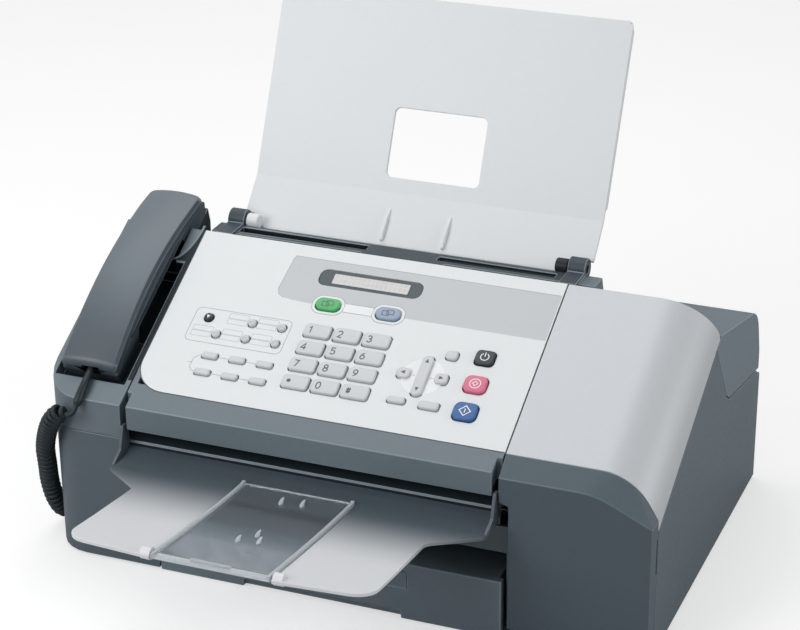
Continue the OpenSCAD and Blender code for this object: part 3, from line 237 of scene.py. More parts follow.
# name: colour, roughness, grain, bump, then what else differs
FINISHES = {
    "body": ((0.128, 0.165, 0.19), 0.4, 1500, 0.3, dict(specular=0.45)),
    # a darker copy of body for the base casing: painted shade
    "body_deep": ((0.088, 0.117, 0.137), 0.42, 1500, 0.3, dict(specular=0.4)),
    # near black, for the cradle's hollow, the paper path and the panel's underside: painted shade
    "painted_recess_shade": ((0.014, 0.021, 0.026), 0.45, 1500, 0.2, dict(specular=0.15)),
    # darker at its front and lower end, ramping to the lighter colour towards its back: painted
    # shade
    "handset": ((0.058, 0.079, 0.094), 0.38, 1500, 0.3,
                dict(specular=0.5, painted_shade_ramp=(18.0, 80.0, (0.108, 0.141, 0.163)))),
    # a lighter copy of body: painted light on the rear hood, and on the cassette in the tray's
    # shadow
    "hood": ((0.15, 0.19, 0.218), 0.52, 1500, 0.3, dict(specular=0.2)),
    # a darker copy of body for the ink cover: painted shade on its front
    "door": ((0.073, 0.101, 0.121), 0.42, 1500, 0.3, dict(specular=0.4)),
    # a darker copy of body for the handset's face and the feed block, and painted shade on the
    # right side of the handset's back
    "grip": ((0.04, 0.057, 0.069), 0.45, 1500, 0.3, dict(specular=0.3)),
    "silver": ((0.5, 0.52, 0.545), 0.4, 2600, 0.12, dict(vary=0.012, metallic=0.15)),
    "white": ((0.735, 0.765, 0.775), 0.34, 1800, 0.08, dict(vary=0.008, coat=0.08)),
    "print_grey": ((0.525, 0.55, 0.565), 0.36, 1800, 0.06, dict(vary=0.01)),
    "print_white": ((0.83, 0.85, 0.86), 0.36, 1800, 0.06, dict(vary=0.01)),
    "line": ((0.33, 0.35, 0.37), 0.4, 1800, 0.04, dict(vary=0.02)),
    "edge_line": ((0.05, 0.058, 0.066), 0.45, 1800, 0.04, dict(vary=0.05)),
    "key": ((0.6, 0.62, 0.635), 0.34, 1800, 0.0, dict(vary=0.012)),
    "ink": ((0.075, 0.085, 0.095), 0.4, 1800, 0.04, dict(vary=0.03)),
    "pale_ink": ((0.85, 0.87, 0.88), 0.4, 1800, 0.04, dict(vary=0.01)),
    "green": glossy((0.075, 0.44, 0.14)),
    "blue_grey": glossy((0.3, 0.38, 0.5)),
    "dark_key": glossy((0.03, 0.04, 0.048), 0.25),
    "red": glossy((0.68, 0.15, 0.26)),
    "blue": glossy((0.035, 0.12, 0.34), 0.3),
    "bezel": ((0.04, 0.06, 0.07), 0.3, 1500, 0.02, dict(specular=0.4)),
    "board": ((0.05, 0.16, 0.07), 0.35, 600, 0.25, dict(vary=0.2)),
    # pale at the front and near black towards the rear: painted reflection of the dark casing above
    # the tray's upturned back
    "tray": ((0.72, 0.735, 0.76), 0.36, 1800, 0.0,
             dict(vary=0.006, painted_shade_ramp=(-88.0, -14.0, (0.075, 0.1, 0.12)))),
    "support": ((0.76, 0.785, 0.8), 0.42, 1600, 0.18, dict(vary=0.008)),
    # black parts, and painted shade on the feed slots' walls
    "black": ((0.02, 0.025, 0.029), 0.36, 1500, 0.2, dict(vary=0.1, specular=0.15)),
    "rubber": ((0.035, 0.036, 0.038), 0.75, 900, 0.4, dict(vary=0.15)),
    "cord": ((0.018, 0.026, 0.032), 0.36, 1500, 0.12, dict(vary=0.08, specular=0.2)),
    "steel": ((0.55, 0.56, 0.57), 0.32, 500, 0.15, dict(vary=0.08, metallic=1.0)),
    "clear": ((0.8, 0.87, 0.93), 0.08, 900, 0.0, dict(vary=0.01, transmission=0.94)),
    "frosted": ((0.7, 0.745, 0.78), 0.34, 900, 0.0, dict(vary=0.01, transmission=0.45)),
}
# the finishes that get an edge finish which is paler and smoother than the faces; the paler colour
# is a painted highlight along the edges
PAINTED_EDGE_HIGHLIGHTS = (
    "body", "body_deep", "hood", "door", "grip", "handset", "silver", "support", "tray", "white",
    "black",
)
# how much paler the painted edge highlight is on dark and on pale finishes, and how much less rough
EDGE_SHADE, PALE_EDGE_SHADE, EDGE_GLOSS = 1.4, 1.06, 0.08
PALE_FROM = 0.4  # from this shade up, a finish counts as pale
LCD_SHADES = {"Color1": 0.56, "Color2": 0.53, "Mortar": 0.61}
DOT_PITCH, DOT_GAP = 0.0031, 0.00025  # cells of the display, in metres


def lcd_material():
    """Liquid-crystal field: pale grey with the faint grid of its dots."""
    mat = plastic("lcd_finish", (0.50, 0.53, 0.53), 0.24, 1500, 0.02, coat=0.3)
    tree = mat.node_tree
    inputs = {
        "Vector": node(tree, "TexCoord").outputs["Object"], "Scale": 1.0,
        "Mortar Size": DOT_GAP, "Brick Width": DOT_PITCH, "Row Height": DOT_PITCH,
    }
    for key, shade in LCD_SHADES.items():
        inputs[key] = (shade * 1.01, shade, shade * 0.99, 1)
    cells = node(tree, "TexBrick", inputs, offset=0.0)
    feed(tree, tree.nodes["Principled BSDF"], {"Base Color": cells.outputs["Color"]})
    return mat


def all_materials():
    made = {}
    for key, (colour, rough, grain, bump, more) in FINISHES.items():
        made[key] = plastic(key + "_finish", colour, rough, grain, bump, **more)
    # the bevels' copies: paler as a painted highlight, and smoother
    for key in PAINTED_EDGE_HIGHLIGHTS:
        colour, rough, grain, bump, more = FINISHES[key]
        shade = PALE_EDGE_SHADE if colour[0] > PALE_FROM else EDGE_SHADE
        made[key + "_edge"] = plastic(
            key + "_edge_finish", tuple(c * shade for c in colour), rough - EDGE_GLOSS,
            grain, bump * 0.5, **more,
        )
    made["lcd"] = lcd_material()
    return made


MATERIALS = all_materials()

# -------- mesh helpers

WELD = 0.00002  # points nearer than this, in metres, are one
TOUCH = 1e-7  # the same for points that two parts of one outline share
FLAT = radians(1)  # faces that differ by less are one face
SMOOTH_ANGLE, TUBE_SMOOTH = radians(32), radians(50)
SHARP_ANGLE = 30  # in degrees, from which an edge is bevelled
LONG_EDGE = 1.0  # a real edge is longer than this


def finished(mesh, *mats):
    """The mesh with its materials, given by name in the order of their indices."""
    for mat in mats:
        mesh.materials.append(MATERIALS[mat])
    return mesh


def show(name, mesh, slot, replaces=False):
    """Adds a piece that rides with a CAD node and may replace it."""
    made = linked(name, mesh)
    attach(made, frame["nodes"][slot]["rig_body"])
    if replaces:
        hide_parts(slot)


def smooth_by_angle(mesh, angle=SMOOTH_ANGLE):
    mesh.polygons.foreach_set("use_smooth", [True] * len(mesh.polygons))
    bm = bmesh.new()
    bm.from_mesh(mesh)
    for e in bm.edges:
        e.smooth = len(e.link_faces) == 2 and e.calc_face_angle(0) < angle
    bm.to_mesh(mesh)
    bm.free()


def to_mesh(bm, name, angle=SMOOTH_ANGLE, fix_normals=True):
    if fix_normals:
        bmesh.ops.recalc_face_normals(bm, faces=bm.faces)
    mesh = bpy.data.meshes.new(name)
    bm.to_mesh(mesh)
    bm.free()
    smooth_by_angle(mesh, angle)
    return mesh


def modified(mesh, *steps):
    """The mesh with modifiers applied, each given as its kind and its settings."""
    made = linked(mesh.name + "_work", mesh)
    for kind, settings in steps:
        mod = made.modifiers.new(kind.lower(), kind)
        for key, value in settings.items():
            setattr(mod, key, value)
    depsgraph = bpy.context.evaluated_depsgraph_get()
    done = bpy.data.meshes.new_from_object(made.evaluated_get(depsgraph))
    done.name = mesh.name
    bpy.data.objects.remove(made)
    return done


def mark_long_edges(mesh):
    """Marks the sharp edges that are long enough to be real ones for the bevel."""
    bm = bmesh.new()
    bm.from_mesh(mesh)
    weight = bm.edges.layers.float.new("bevel_weight_edge")
    for e in bm.edges:
        if len(e.link_faces) == 2 and e.calc_face_angle(0) > radians(SHARP_ANGLE):
            least_area = min(f.calc_area() for f in e.link_faces)
            if e.calc_length() > LONG_EDGE * MM and least_area > (LONG_EDGE * MM) ** 2:
                e[weight] = 1.0
    bm.to_mesh(mesh)
    bm.free()


def bevel_steps(width, segments=3, angle=SHARP_ANGLE, edge_index=-1, weighted=False):
    """Rounded edges, and normals that keep the large faces flat."""
    return (
        ("BEVEL", dict(
            width=width * MM, segments=segments,
            limit_method="WEIGHT" if weighted else "ANGLE",
            angle_limit=radians(angle), use_clamp_overlap=False, miter_outer="MITER_ARC",
            material=edge_index,
        )),
        ("WEIGHTED_NORMAL", dict(keep_sharp=True, weight=80)),
    )


def thickened(thickness):
    """A sheet made solid, towards its back."""
    return ("SOLIDIFY", dict(thickness=thickness * MM, offset=-1, use_even_offset=True))


def solid_box(bm, low, high, at=place):
    """A box given by two corners in the frame that `at` reads."""
    v = [
        bm.verts.new(at(x, y, z))
        for z in (low[2], high[2]) for y in (low[1], high[1]) for x in (low[0], high[0])
    ]
    for face in (
        (0, 2, 3, 1), (4, 5, 7, 6), (0, 1, 5, 4), (1, 3, 7, 5), (3, 2, 6, 7), (2, 0, 4, 6)
    ):
        bm.faces.new([v[i] for i in face])


def cut(mesh, boxes, at=place):
    """The mesh with boxes taken out of it."""
    bm = bmesh.new()
    for low, high in boxes:
        solid_box(bm, low, high, at)
    tool = linked("cutter", to_mesh(bm, "cutter"))
    done = modified(mesh, ("BOOLEAN", dict(operation="DIFFERENCE", solver="EXACT", object=tool)))
    bpy.data.objects.remove(tool)
    return done


def face_towards(bm, direction):
    """Makes the faces of an open sheet agree, and look that way on the whole."""
    bmesh.ops.recalc_face_normals(bm, faces=bm.faces)
    if sum(f.normal.dot(direction) * f.calc_area() for f in bm.faces) < 0:
        bmesh.ops.reverse_faces(bm, faces=bm.faces)


def joined_up(source):
    """A CAD mesh with its flat faces joined up."""
    bm = bmesh.new()
    bm.from_mesh(frame["nodes"][source].data)
    weld(bm, WELD)
    bmesh.ops.dissolve_limit(
        bm, angle_limit=FLAT, verts=bm.verts, edges=bm.edges, use_dissolve_boundaries=False
    )
    bmesh.ops.dissolve_degenerate(bm, dist=WELD, edges=bm.edges)
    return to_mesh(bm, source + "_shell", fix_normals=False)


def paint(mesh, index, inside):
    """Gives another material to the faces whose middle and normal pass a test."""
    for poly in mesh.polygons:
        at = Vector(poly.center) / MM - Vector((0, FRONT, 0))
        if inside(at, poly.normal):
            poly.material_index = index


def dress(source, finish, width, cuts=(), zones=(), weighted=False):
    """Replaces a CAD node by its own shape with rounded edges, whose paler finish is a painted
    highlight.
    """
    mesh = joined_up(source)
    if weighted:
        mark_long_edges(mesh)
    if cuts:
        mesh = cut(mesh, cuts)
        smooth_by_angle(mesh)
    painted_highlight = finish + "_edge" if finish in PAINTED_EDGE_HIGHLIGHTS else finish
    finished(mesh, finish, painted_highlight, *(name for name, _ in zones))
    for index, (_, inside) in enumerate(zones, 2):
        paint(mesh, index, inside)
    mesh = modified(mesh, *bevel_steps(width, edge_index=1, weighted=weighted))
    show(source + "_shell", mesh, source, True)


def loft(bm, rings, closed=True, caps=True, index=0):
    """Skins rings of points; closed rings join their ends, and caps close the first and last."""
    made = [[bm.verts.new(p) for p in ring] for ring in rings]
    count = len(made[0])
    for low, high in zip(made, made[1:]):
        for k in range(count if closed else count - 1):
            n = (k + 1) % count
            bm.faces.new((low[k], low[n], high[n], high[k])).material_index = index
    if caps:
        bm.faces.new(list(reversed(made[0]))).material_index = index
        bm.faces.new(made[-1]).material_index = index


def weld(bm, distance):
    bmesh.ops.remove_doubles(bm, verts=bm.verts, dist=distance)


def filled(bm, loops):
    """Flat faces between an outline and the holes in it."""
    edges = []
    for loop in loops:
        v = [bm.verts.new(p) for p in loop]
        edges += [bm.edges.new((v[i], v[(i + 1) % len(v)])) for i in range(len(v))]
    bmesh.ops.triangle_fill(bm, use_beauty=True, use_dissolve=False, edges=edges)


def arc(cx, cy, rx, ry, start, end, n):
    """Points of a round or oval arc between two angles in degrees."""
    turns = [radians(start + (end - start) * k / n) for k in range(n + 1)]
    return [(cx + rx * cos(t), cy + ry * sin(t)) for t in turns]


def oval(cx, cy, rx, ry, n):
    return arc(cx, cy, rx, ry, 0, 360, n)[:-1]


def rounded_rect(w, l, r, n=5):
    """A rectangle with rounded corners, counter-clockwise round the middle."""
    out = []
    for i, (sx, sy) in enumerate(((1, 1), (-1, 1), (-1, -1), (1, -1))):
        out += arc(sx * (w / 2 - r), sy * (l / 2 - r), r, r, 90 * i, 90 * (i + 1), n)
    return out


def moved(outline, x, s):
    return [(x + px, s + ps) for px, ps in outline]


def raised(outline, h, at=on_slope):
    """The points of an outline at height h."""
    return [at(x, s, h) for x, s in outline]


def slab(bm, outline, low, high, index=0, at=on_slope):
    """A closed plate between two heights."""
    loft(bm, [raised(outline, h, at) for h in (low, high)], index=index)


def ribbon(bm, path, width, low, high, index=0, closed=False):
    """A thin closed strip along a path on the slope, between two heights."""
    count = len(path)
    rings = []
    for i, (x, s) in enumerate(path):
        before = path[(i - 1) % count] if closed else path[max(i - 1, 0)]
        after = path[(i + 1) % count] if closed else path[min(i + 1, count - 1)]
        a = Vector((x - before[0], s - before[1]))
        b = Vector((after[0] - x, after[1] - s))
        a = a.normalized() if a.length > 1e-9 else b.normalized()
        b = b.normalized() if b.length > 1e-9 else a
        across = Vector((-(a + b).y, (a + b).x)).normalized()
        half = width / 2 / max(0.5, across.dot(Vector((-b.y, b.x))))
        p, q = Vector((x, s)) + across * half, Vector((x, s)) - across * half
        rings.append([on_slope(*c, h) for c, h in ((p, low), (q, low), (q, high), (p, high))])
    if closed:
        rings.append(rings[0])
    loft(bm, rings, caps=not closed, index=index)
    if closed:
        weld(bm, TOUCH)


def tube_mesh(name, points, radii, sides):
    """A tube along points with a radius at each, its rings carried on without twist."""
    bm = bmesh.new()
    rings = []
    last = len(points) - 1
    normal = None
    for i, (p, r) in enumerate(zip(points, radii)):
        along = (points[min(i + 1, last)] - points[max(i - 1, 0)]).normalized()
        if normal is None:
            normal = along.orthogonal().normalized()
        normal = (normal - along * normal.dot(along)).normalized()
        side = along.cross(normal)
        rings.append([p + (normal * c + side * d) * r for c, d in oval(0, 0, 1, 1, sides)])
    loft(bm, rings)
    return to_mesh(bm, name, TUBE_SMOOTH)


# -------- handset cord

WIRE_R = 1.7
WIRE_SIDES, SLEEVE_SIDES = 10, 16
COIL_R = 4.7  # from the coil's centre to the wire's centre
COIL_PITCH = 3.9
TURN_POINTS = 14
COIL_EASE = 9.0  # the length over which the coil opens at each end
LEAD_STEPS, ROUTE_STEPS = 5, 12  # curve points for each point of the routes below
LEAD_IN = [
    (-172, 18.7, 126.75), (-172, 16.5, 125.6), (-171.3, 12, 124), (-170.6, 5, 121),
    (-170.8, 0, 116.8), (-171.3, -4, 112), (-172.6, -7, 107.5), (-175, -8, 105.3),
    (-178, -7.5, 105),
]
COIL_ROUTE = [
    (-178, -7.5, 105), (-184, -6, 104), (-192.5, -3.5, 93.5), (-203.5, 7.5, 71.5),
    (-207, 14, 53.5), (-210.5, 21, 37), (-210.5, 26, 22.5), (-209.5, 34, 11),
    (-208, 48, 7.5), (-207.5, 66, 7.5), (-207.5, 84, 7.5), (-207.5, 102, 8),
    (-208, 117, 12), (-208.5, 127, 21), (-209, 132, 34), (-209, 134, 50),
    (-209, 134, 66), (-208.5, 133.5, 80),
]
LEAD_OUT = [
    (-208.5, 133.5, 80), (-208.3, 133, 86), (-207.6, 132.6, 92.5), (-206, 132.2, 98.5),
    (-203.5, 132, 101.6), (-198.5, 132, 102),
]
# from the cord's first point to where it no longer follows the handset
SLEEVE_SPAN = slice(2, 27)  # the curve points of the first lead that the sleeve covers
SLEEVE_R, SLEEVE_FLARE, SLEEVE_ROUND = 2.15, 1.0, 1.1


def catmull(points, steps):
    """Points of a smooth curve through the given ones."""
    last = len(points) - 1
    out = []
    for i in range(last):
        a, b, c, d = (Vector(points[min(max(j, 0), last)]) for j in range(i - 1, i + 3))
        for k in range(steps):
            t = k / steps
            out.append(0.5 * (
                2 * b + (c - a) * t + (2 * a - 5 * b + 4 * c - d) * t * t
                + (3 * b - a - 3 * c + d) * t ** 3
            ))
    return out + [Vector(points[last])]


def lengths(points):
    """The length of a line up to each of its points."""
    total = [0.0]
    for a, b in zip(points, points[1:]):
        total.append(total[-1] + (b - a).length)
    return total


def helix(centre):
    """The wire's line round the coil's centre line, which it leaves and meets again gently."""
    along = lengths(centre)
    total = along[-1]
    count = int(total / COIL_PITCH * TURN_POINTS)
    normal = None
    out = []
    j = 0
    for i in range(count + 1):
        d = total * i / count
        while j < len(along) - 2 and along[j + 1] < d:
            j += 1
        t = (d - along[j]) / max(1e-9, along[j + 1] - along[j])
        p = centre[j].lerp(centre[j + 1], min(1, t))
        heading = (centre[min(j + 2, len(centre) - 1)] - centre[max(j - 1, 0)]).normalized()
        if normal is None:
            normal = heading.cross(Vector((0, 0, 1))).normalized()
        normal = (normal - heading * normal.dot(heading)).normalized()
        side = heading.cross(normal)
        angle = 2 * pi * i / TURN_POINTS
        opened = min(1.0, d / COIL_EASE, (total - d) / COIL_EASE)
        r = COIL_R * (1 - (1 - opened) ** 2)
        out.append(p + (normal * cos(angle) + side * sin(angle)) * r)
    return out


def cord_piece(name, points, radii, sides):
    """A piece of the cord, bent along from the handset to the casing."""
    made = linked(name, finished(tube_mesh(name, points, radii, sides), "cord"))
    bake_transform(made)
    return made


def sleeve_radius(i, last):
    """The strain relief widens away from the handset, and its last two steps round its end."""
    flare = SLEEVE_FLARE * (i / last) ** 1.5
    return (SLEEVE_R + flare - SLEEVE_ROUND * max(0, i - last + 2) / 2) * MM


def make_cord():
    lead_in = catmull(LEAD_IN, LEAD_STEPS)
    coil = helix(catmull(COIL_ROUTE, ROUTE_STEPS))
    lead_out = catmull(LEAD_OUT, LEAD_STEPS)
    points = [place(*p) for p in lead_in[:-2] + coil[2:-2] + lead_out[2:]]
    wire = cord_piece(
        "handset_cord", points, [WIRE_R * MM] * len(points), WIRE_SIDES
    )
    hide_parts("cord_coil", "cord_leads")
    span = [place(*p) for p in lead_in[SLEEVE_SPAN]]
    radii = [sleeve_radius(i, len(span) - 1) for i in range(len(span))]
    sleeve = cord_piece("cord_sleeve", span, radii, SLEEVE_SIDES)


make_cord()

# -------- shells taken from the CAD

# two long slots in the top of the feed block, behind the plate
BLOCK_TOP = CREASE + SLOPE_LEN * sin(SLOPE) - 5.5
FEED_SLOTS = [
    ((-128, 146.5, BLOCK_TOP - 6), (-38, 153.5, BLOCK_TOP + 1)),
    ((11, 146.5, BLOCK_TOP - 6), (90, 152.5, BLOCK_TOP + 1)),
]
SLOT_EDGE = 0.3  # the slots' walls are painted black as shade, up to this far below the top
NEAR = 0.1  # a face counts as on a form when it is this near
# zones with a finish of their own, as limits of x, y, z or of s and h on the slope; the cradle, the
# paper path, the slots and the panel's underside are painted shade
CRADLE_X, CRADLE_S, CRADLE_H = (-194, -144.2), (17, 176), (-50, -0.8)
LEDGE_S = 140  # from here on, walls that look back belong to the outside
PATH_X, PATH_Y, PATH_Z, PATH_S, PATH_H = (-138, 99), -6, 60, 140, -6
BLOCK_X, BLOCK_Y, BLOCK_Z = (-143, 113), (139, 172), 163
LIP_Y, LIP_Z = 6, 100  # behind the panel's lip, and up to its top
# node: finish, bevel
SHELLS = {
    "base_casing": ("body_deep", 0.6), "rubber_feet": ("rubber", 0.4), "ink_cover": ("door", 0.6),
    "print_frame": ("steel", 0.2), "ink_cartridges": ("black", 0.6),
    "print_carriage": ("black", 0.5), "paper_roller": ("rubber", 0.3),
    "circuit_boards": ("board", 0.15), "paper_cassette": ("hood", 0.8),
    "hook_button": ("black", 0.12), "rear_hood": ("hood", 0.6), "right_cover": ("silver", 0.5),
    "scan_sensor": ("black", 0.2), "document_roller": ("rubber", 0.2),
    "panel_plate": ("white", 0.25), "display_board": ("bezel", 0.3),
    "handset_face": ("grip", 0.8),
}


def between(value, limits):
    return limits[0] < value < limits[1]


def in_cradle(at, normal):
    """The hollow that the handset lies in, without the casing's rear wall; painted near black as
    shade.
    """
    s, h = slope_coords(at)
    hollow = between(at.x, CRADLE_X) and between(s, CRADLE_S) and between(h, CRADLE_H)
    outside = normal.z <= -0.5 or (normal.y > 0.3 and s > LEDGE_S)
    return hollow and not outside


def in_paper_path(at, _normal):
    """The original's way under the panel, painted near black as shade."""
    s, h = slope_coords(at)
    return between(at.x, PATH_X) and at.y > PATH_Y and at.z > PATH_Z and s < PATH_S and h < PATH_H


# the feed slots' walls, painted black as shade
def in_feed_slot(at, _normal):
    return any(
        all(between(v, (a - NEAR, b + NEAR)) for v, a, b in zip(at, low, high))
        for low, high in FEED_SLOTS
    ) and at.z < BLOCK_TOP - SLOT_EDGE


def in_feed_block(at, normal):
    """The block behind the panel, without its slots."""
    block = between(at.x, BLOCK_X) and between(at.y, BLOCK_Y) and at.z > BLOCK_Z
    return block and not in_feed_slot(at, normal)


def under_panel(at, normal):
    """The panel frame's underside and the back of its lip, painted near black as shade."""
    return normal.z < -0.3 or (at.y > LIP_Y and at.z < LIP_Z)


for shell, (finish, bevel) in SHELLS.items():
    dress(shell, finish, bevel)
# painted shade: the cradle, the paper path and the slots' walls go near black or black
dress("upper_casing", "body", 0.5, cuts=FEED_SLOTS, zones=[
    ("painted_recess_shade", in_cradle), ("painted_recess_shade", in_paper_path), ("black", in_feed_slot),
    ("grip", in_feed_block),
])
dress("document_tray", "tray", 0.18, weighted=True)
# painted shade, near black, under the panel and behind its lip
dress("panel_frame", "body", 0.6, zones=[("painted_recess_shade", under_panel)])

# -------- document tray's flap

TRAY_REACH = 131.0  # from the casing's front face to the tray's front edge
VALLEY_Y, VALLEY_Z, TRAY_FRONT_Z = -12.0, 80.5, 96.0
TRAY_CURVE = 1.25
FLAP_W = 37.0  # half the flap's width
RIM_SIDE, RIM_FRONT = 2.2, 4.0  # the frosted rim
PROUD = 0.1  # the catches start this far above the tray
CATCHES = ((-4, -26), (9, -24), (-3, -88), (4, -76), (9, -85))
# the catches' sections from below: radius, shift to the rear, height
CATCH_STEPS = ((1.5, 0, PROUD), (1.4, 0.4, 1.0), (1.1, 1.6, 2.0), (0.8, 3.4, 2.4))
CATCH_W, CATCH_L = 0.9, 1.7  # a catch is narrower than it is long
PULL_BAR = (25.5, 2.2, 1.0)  # width, length and corner radius, as in every rounded outline
PULL_X, PULL_Y, PULL_H = -1, -127, 1.6


def on_tray(x, y, h):
    """A point at height h over the sloping tray, in front of its valley."""
    run = (VALLEY_Y - y) / (TRAY_REACH + VALLEY_Y)
    return place(PANEL_MID + x, y, VALLEY_Z + (TRAY_FRONT_Z - VALLEY_Z) * run ** TRAY_CURVE + h)


def on_rim(at, _normal):
    return abs(at.x - PANEL_MID) > FLAP_W - RIM_SIDE or at.y < RIM_FRONT - TRAY_REACH


def make_flap():
    mesh = finished(joined_up("tray_flap"), "clear", "frosted")
    paint(mesh, 1, on_rim)
    mesh = modified(mesh, *bevel_steps(0.12, 1))
    show("tray_flap_sheet", mesh, "tray_flap", True)


def make_catches():
    """The catches on the flap and its pull bar."""
    bm = bmesh.new()
    for x, y in CATCHES:
        loft(bm, [
            raised(oval(x, y + back, CATCH_W * r, CATCH_L * r, 14), h, on_tray)
            for r, back, h in CATCH_STEPS
        ])
    slab(bm, moved(rounded_rect(*PULL_BAR), PULL_X, PULL_Y), PROUD, PULL_H, at=on_tray)
    mesh = finished(to_mesh(bm, "tray_flap_catches"), "frosted")
    show("tray_flap_catches", mesh, "tray_flap")


make_flap()
make_catches()

# -------- document support

SUPPORT = "document_support"
SUPPORT_X0, SUPPORT_X1 = -134.5, 108.0
AXIS_Y, AXIS_Z = 161.5, 178.0  # of the pins that the support turns on
LOW_ANGLE, UP_ANGLE = radians(46), radians(65)
LOW_LEN, UP_LEN, SHEET_T = 37.5, 128.5, 2.5
FOOT, FACE = 2.0, 6.0  # from the axis: down the leaf to its foot, and back to its face
NOTCH_X0, NOTCH_X1, NOTCH_H = -128.2, 95.3, 9.8  # the sheet is narrower here, beside the bosses
CORNER_R = 4.0
WINDOW = (64.5, 46.0, CORNER_R, 6)  # and the steps of a corner, where it isn't 5
WINDOW_X, WINDOW_V = -10.7, 33.0
SHEET_SMOOTH = radians(12)
FLANGE_T, FLANGE_IN = 2, 0.3
FLANGE = [(4, -0.8), (UP_LEN - 3, -0.8), (UP_LEN - 6, -7), (9, -7)]
RIB_T, RIBS_X = 1.8, (-36, 6.5)
RIB = [(3, -1), (3, 2.2), (6, 2.9), (13, 3.0), (20, 2.3), (25, 1.0), (27.5, -1)]
KNUCKLE_L, KNUCKLE_R, PIN_R = 8.5, 5.0, 3.0
KNUCKLES = ((-128.2, -137), (86.8, 105.3))  # where each starts, and where its pin ends
WEB, WEB_IN = ((-0.8, -4.2), (6.4, -0.6)), 0.4  # from a knuckle to the sheet: y and z off the axis
BAR_CHAMFER, BAR_END = 0.6, 0.86  # the bars' ends: how long, and their share of the radius


def leaf_point(x, *steps):
    """A point reached from the axis by steps, each v up a leaf at an angle and out from it."""
    y, z = AXIS_Y, AXIS_Z
    for angle, v, out in steps:
        y += v * cos(angle) - out * sin(angle)
        z += v * sin(angle) + out * cos(angle)
    return place(x, y, z)


def on_lower(x, v, out):
    """A point of the lower leaf: v up it from its foot, out towards the sheet's front."""
    return leaf_point(x, (LOW_ANGLE, v - FOOT, out - FACE))


def on_upper(x, v, out):
    """The same for the upper leaf, from the crease between the two."""
    return leaf_point(x, (LOW_ANGLE, LOW_LEN - FOOT, -FACE), (UP_ANGLE, v, out))


def make_support_sheet():
    x0, x1, r = SUPPORT_X0, SUPPORT_X1, CORNER_R
    bm = bmesh.new()
    lower = [
        (NOTCH_X0, 0), (NOTCH_X1, 0), (NOTCH_X1, NOTCH_H), (x1, NOTCH_H), (x1, LOW_LEN),
        (x0, LOW_LEN), (x0, NOTCH_H), (NOTCH_X0, NOTCH_H),
    ]
    filled(bm, [raised(lower, 0, on_lower)])
    upper = [(x0, 0), (x1, 0)] + arc(x1 - r, UP_LEN - r, r, r, 0, 90, 6)
    upper += arc(x0 + r, UP_LEN - r, r, r, 90, 180, 6)
    window = moved(rounded_rect(*WINDOW), WINDOW_X, WINDOW_V)
    filled(bm, [raised(loop, 0, on_upper) for loop in (upper, window)])
    weld(bm, WELD)
    face_towards(bm, on_upper(0, 0, 1) - on_upper(0, 0, 0))
    sheet = to_mesh(bm, SUPPORT + "_sheet", SHEET_SMOOTH, fix_normals=False)
    finished(sheet, "support", "support_edge")
    # the bevels take the paler support_edge copy: a painted highlight
    sheet = modified(sheet, thickened(SHEET_T), *bevel_steps(0.45, edge_index=1))
    show(SUPPORT + "_sheet", sheet, SUPPORT, True)


def round_bar(bm, x0, x1, radius):
    """A bar round the support's axis, with chamfered ends."""
    loft(bm, [
        [place(x, y, z) for y, z in oval(AXIS_Y, AXIS_Z, radius * q, radius * q, 28)]
        for x, q in ((x0, BAR_END), (x0 + BAR_CHAMFER, 1), (x1 - BAR_CHAMFER, 1), (x1, BAR_END))
    ])


def right_knuckle(at, _normal):
    start = KNUCKLES[1][0]
    return at.x > start - NEAR and hypot(at.y - AXIS_Y, at.z - AXIS_Z) < KNUCKLE_R + NEAR


def make_support_fittings():
    """Side flanges turned back, ribs that guide a narrow sheet, and knuckles with their pins."""
    bm = bmesh.new()
    for x in (SUPPORT_X0 + FLANGE_IN, SUPPORT_X1 - FLANGE_IN - FLANGE_T):
        loft(bm, [[on_upper(x + t, v, out) for v, out in FLANGE] for t in (0, FLANGE_T)])
    for x in RIBS_X:
        loft(bm, [[on_lower(x + t, v, out) for v, out in RIB] for t in (0, RIB_T)])
    for x, pin_end in KNUCKLES:
        end = x + KNUCKLE_L
        round_bar(bm, x, end, KNUCKLE_R)
        round_bar(bm, min(pin_end, x + 1), max(pin_end, end - 1), PIN_R)
        (y0, z0), (y1, z1) = WEB
        solid_box(
            bm, (x + WEB_IN, AXIS_Y + y0, AXIS_Z + z0), (end - WEB_IN, AXIS_Y + y1, AXIS_Z + z1)
        )
    mesh = finished(to_mesh(bm, SUPPORT + "_fittings"), "support", "support_edge", "black")
    paint(mesh, 2, right_knuckle)
    mesh = modified(mesh, *bevel_steps(0.35, 2))
    show(SUPPORT + "_fittings", mesh, SUPPORT)


make_support_sheet()
make_support_fittings()

# -------- handset's back shell

HAND_MID, HAND_W = -173.5, 39.0
HAND_S, HAND_LEN = 21.0, 150.0
HAND_END = HAND_S + HAND_LEN
END_H, ARCH_H, ARCH_PEAK = 8.0, 10.0, 0.47  # height at the ends, rise, and where it is highest
REAR_FALL = 3.0  # how much the rear half falls more than the front one
WALL_H, WALL_FOOT = 9, 0.3  # the side walls, and their least height
WIDEST_H = 6  # height at which the shell is widest
TAPER_UP, TAPER_DOWN = 1 / 14, 1.5 / 26  # how fast its sides draw in above and below that
CROWN, CHAMFER, CHAMFER_RISE = 1.9, 1.8, 1.4
CROWN_STEPS = 7
ROLL_FRONT, ROLL_REAR = 4.2, 3.2  # radii of the shell's ends, seen from the side
ROUND_FRONT, ROUND_REAR = 2.5, 6.5  # radii of its corners, seen from above
ROLL_STEPS, BODY_STEPS = 6, 26
FINE_STEPS = 4  # sections a millimetre apart before the rear end
SHELL_T = 2.0
CORD_SLOT = ((-178, HAND_S - 1, 0.4), (-166, HAND_S + 3, 5.7))  # x, s, h
SHELL_ANGLE = 26  # in degrees


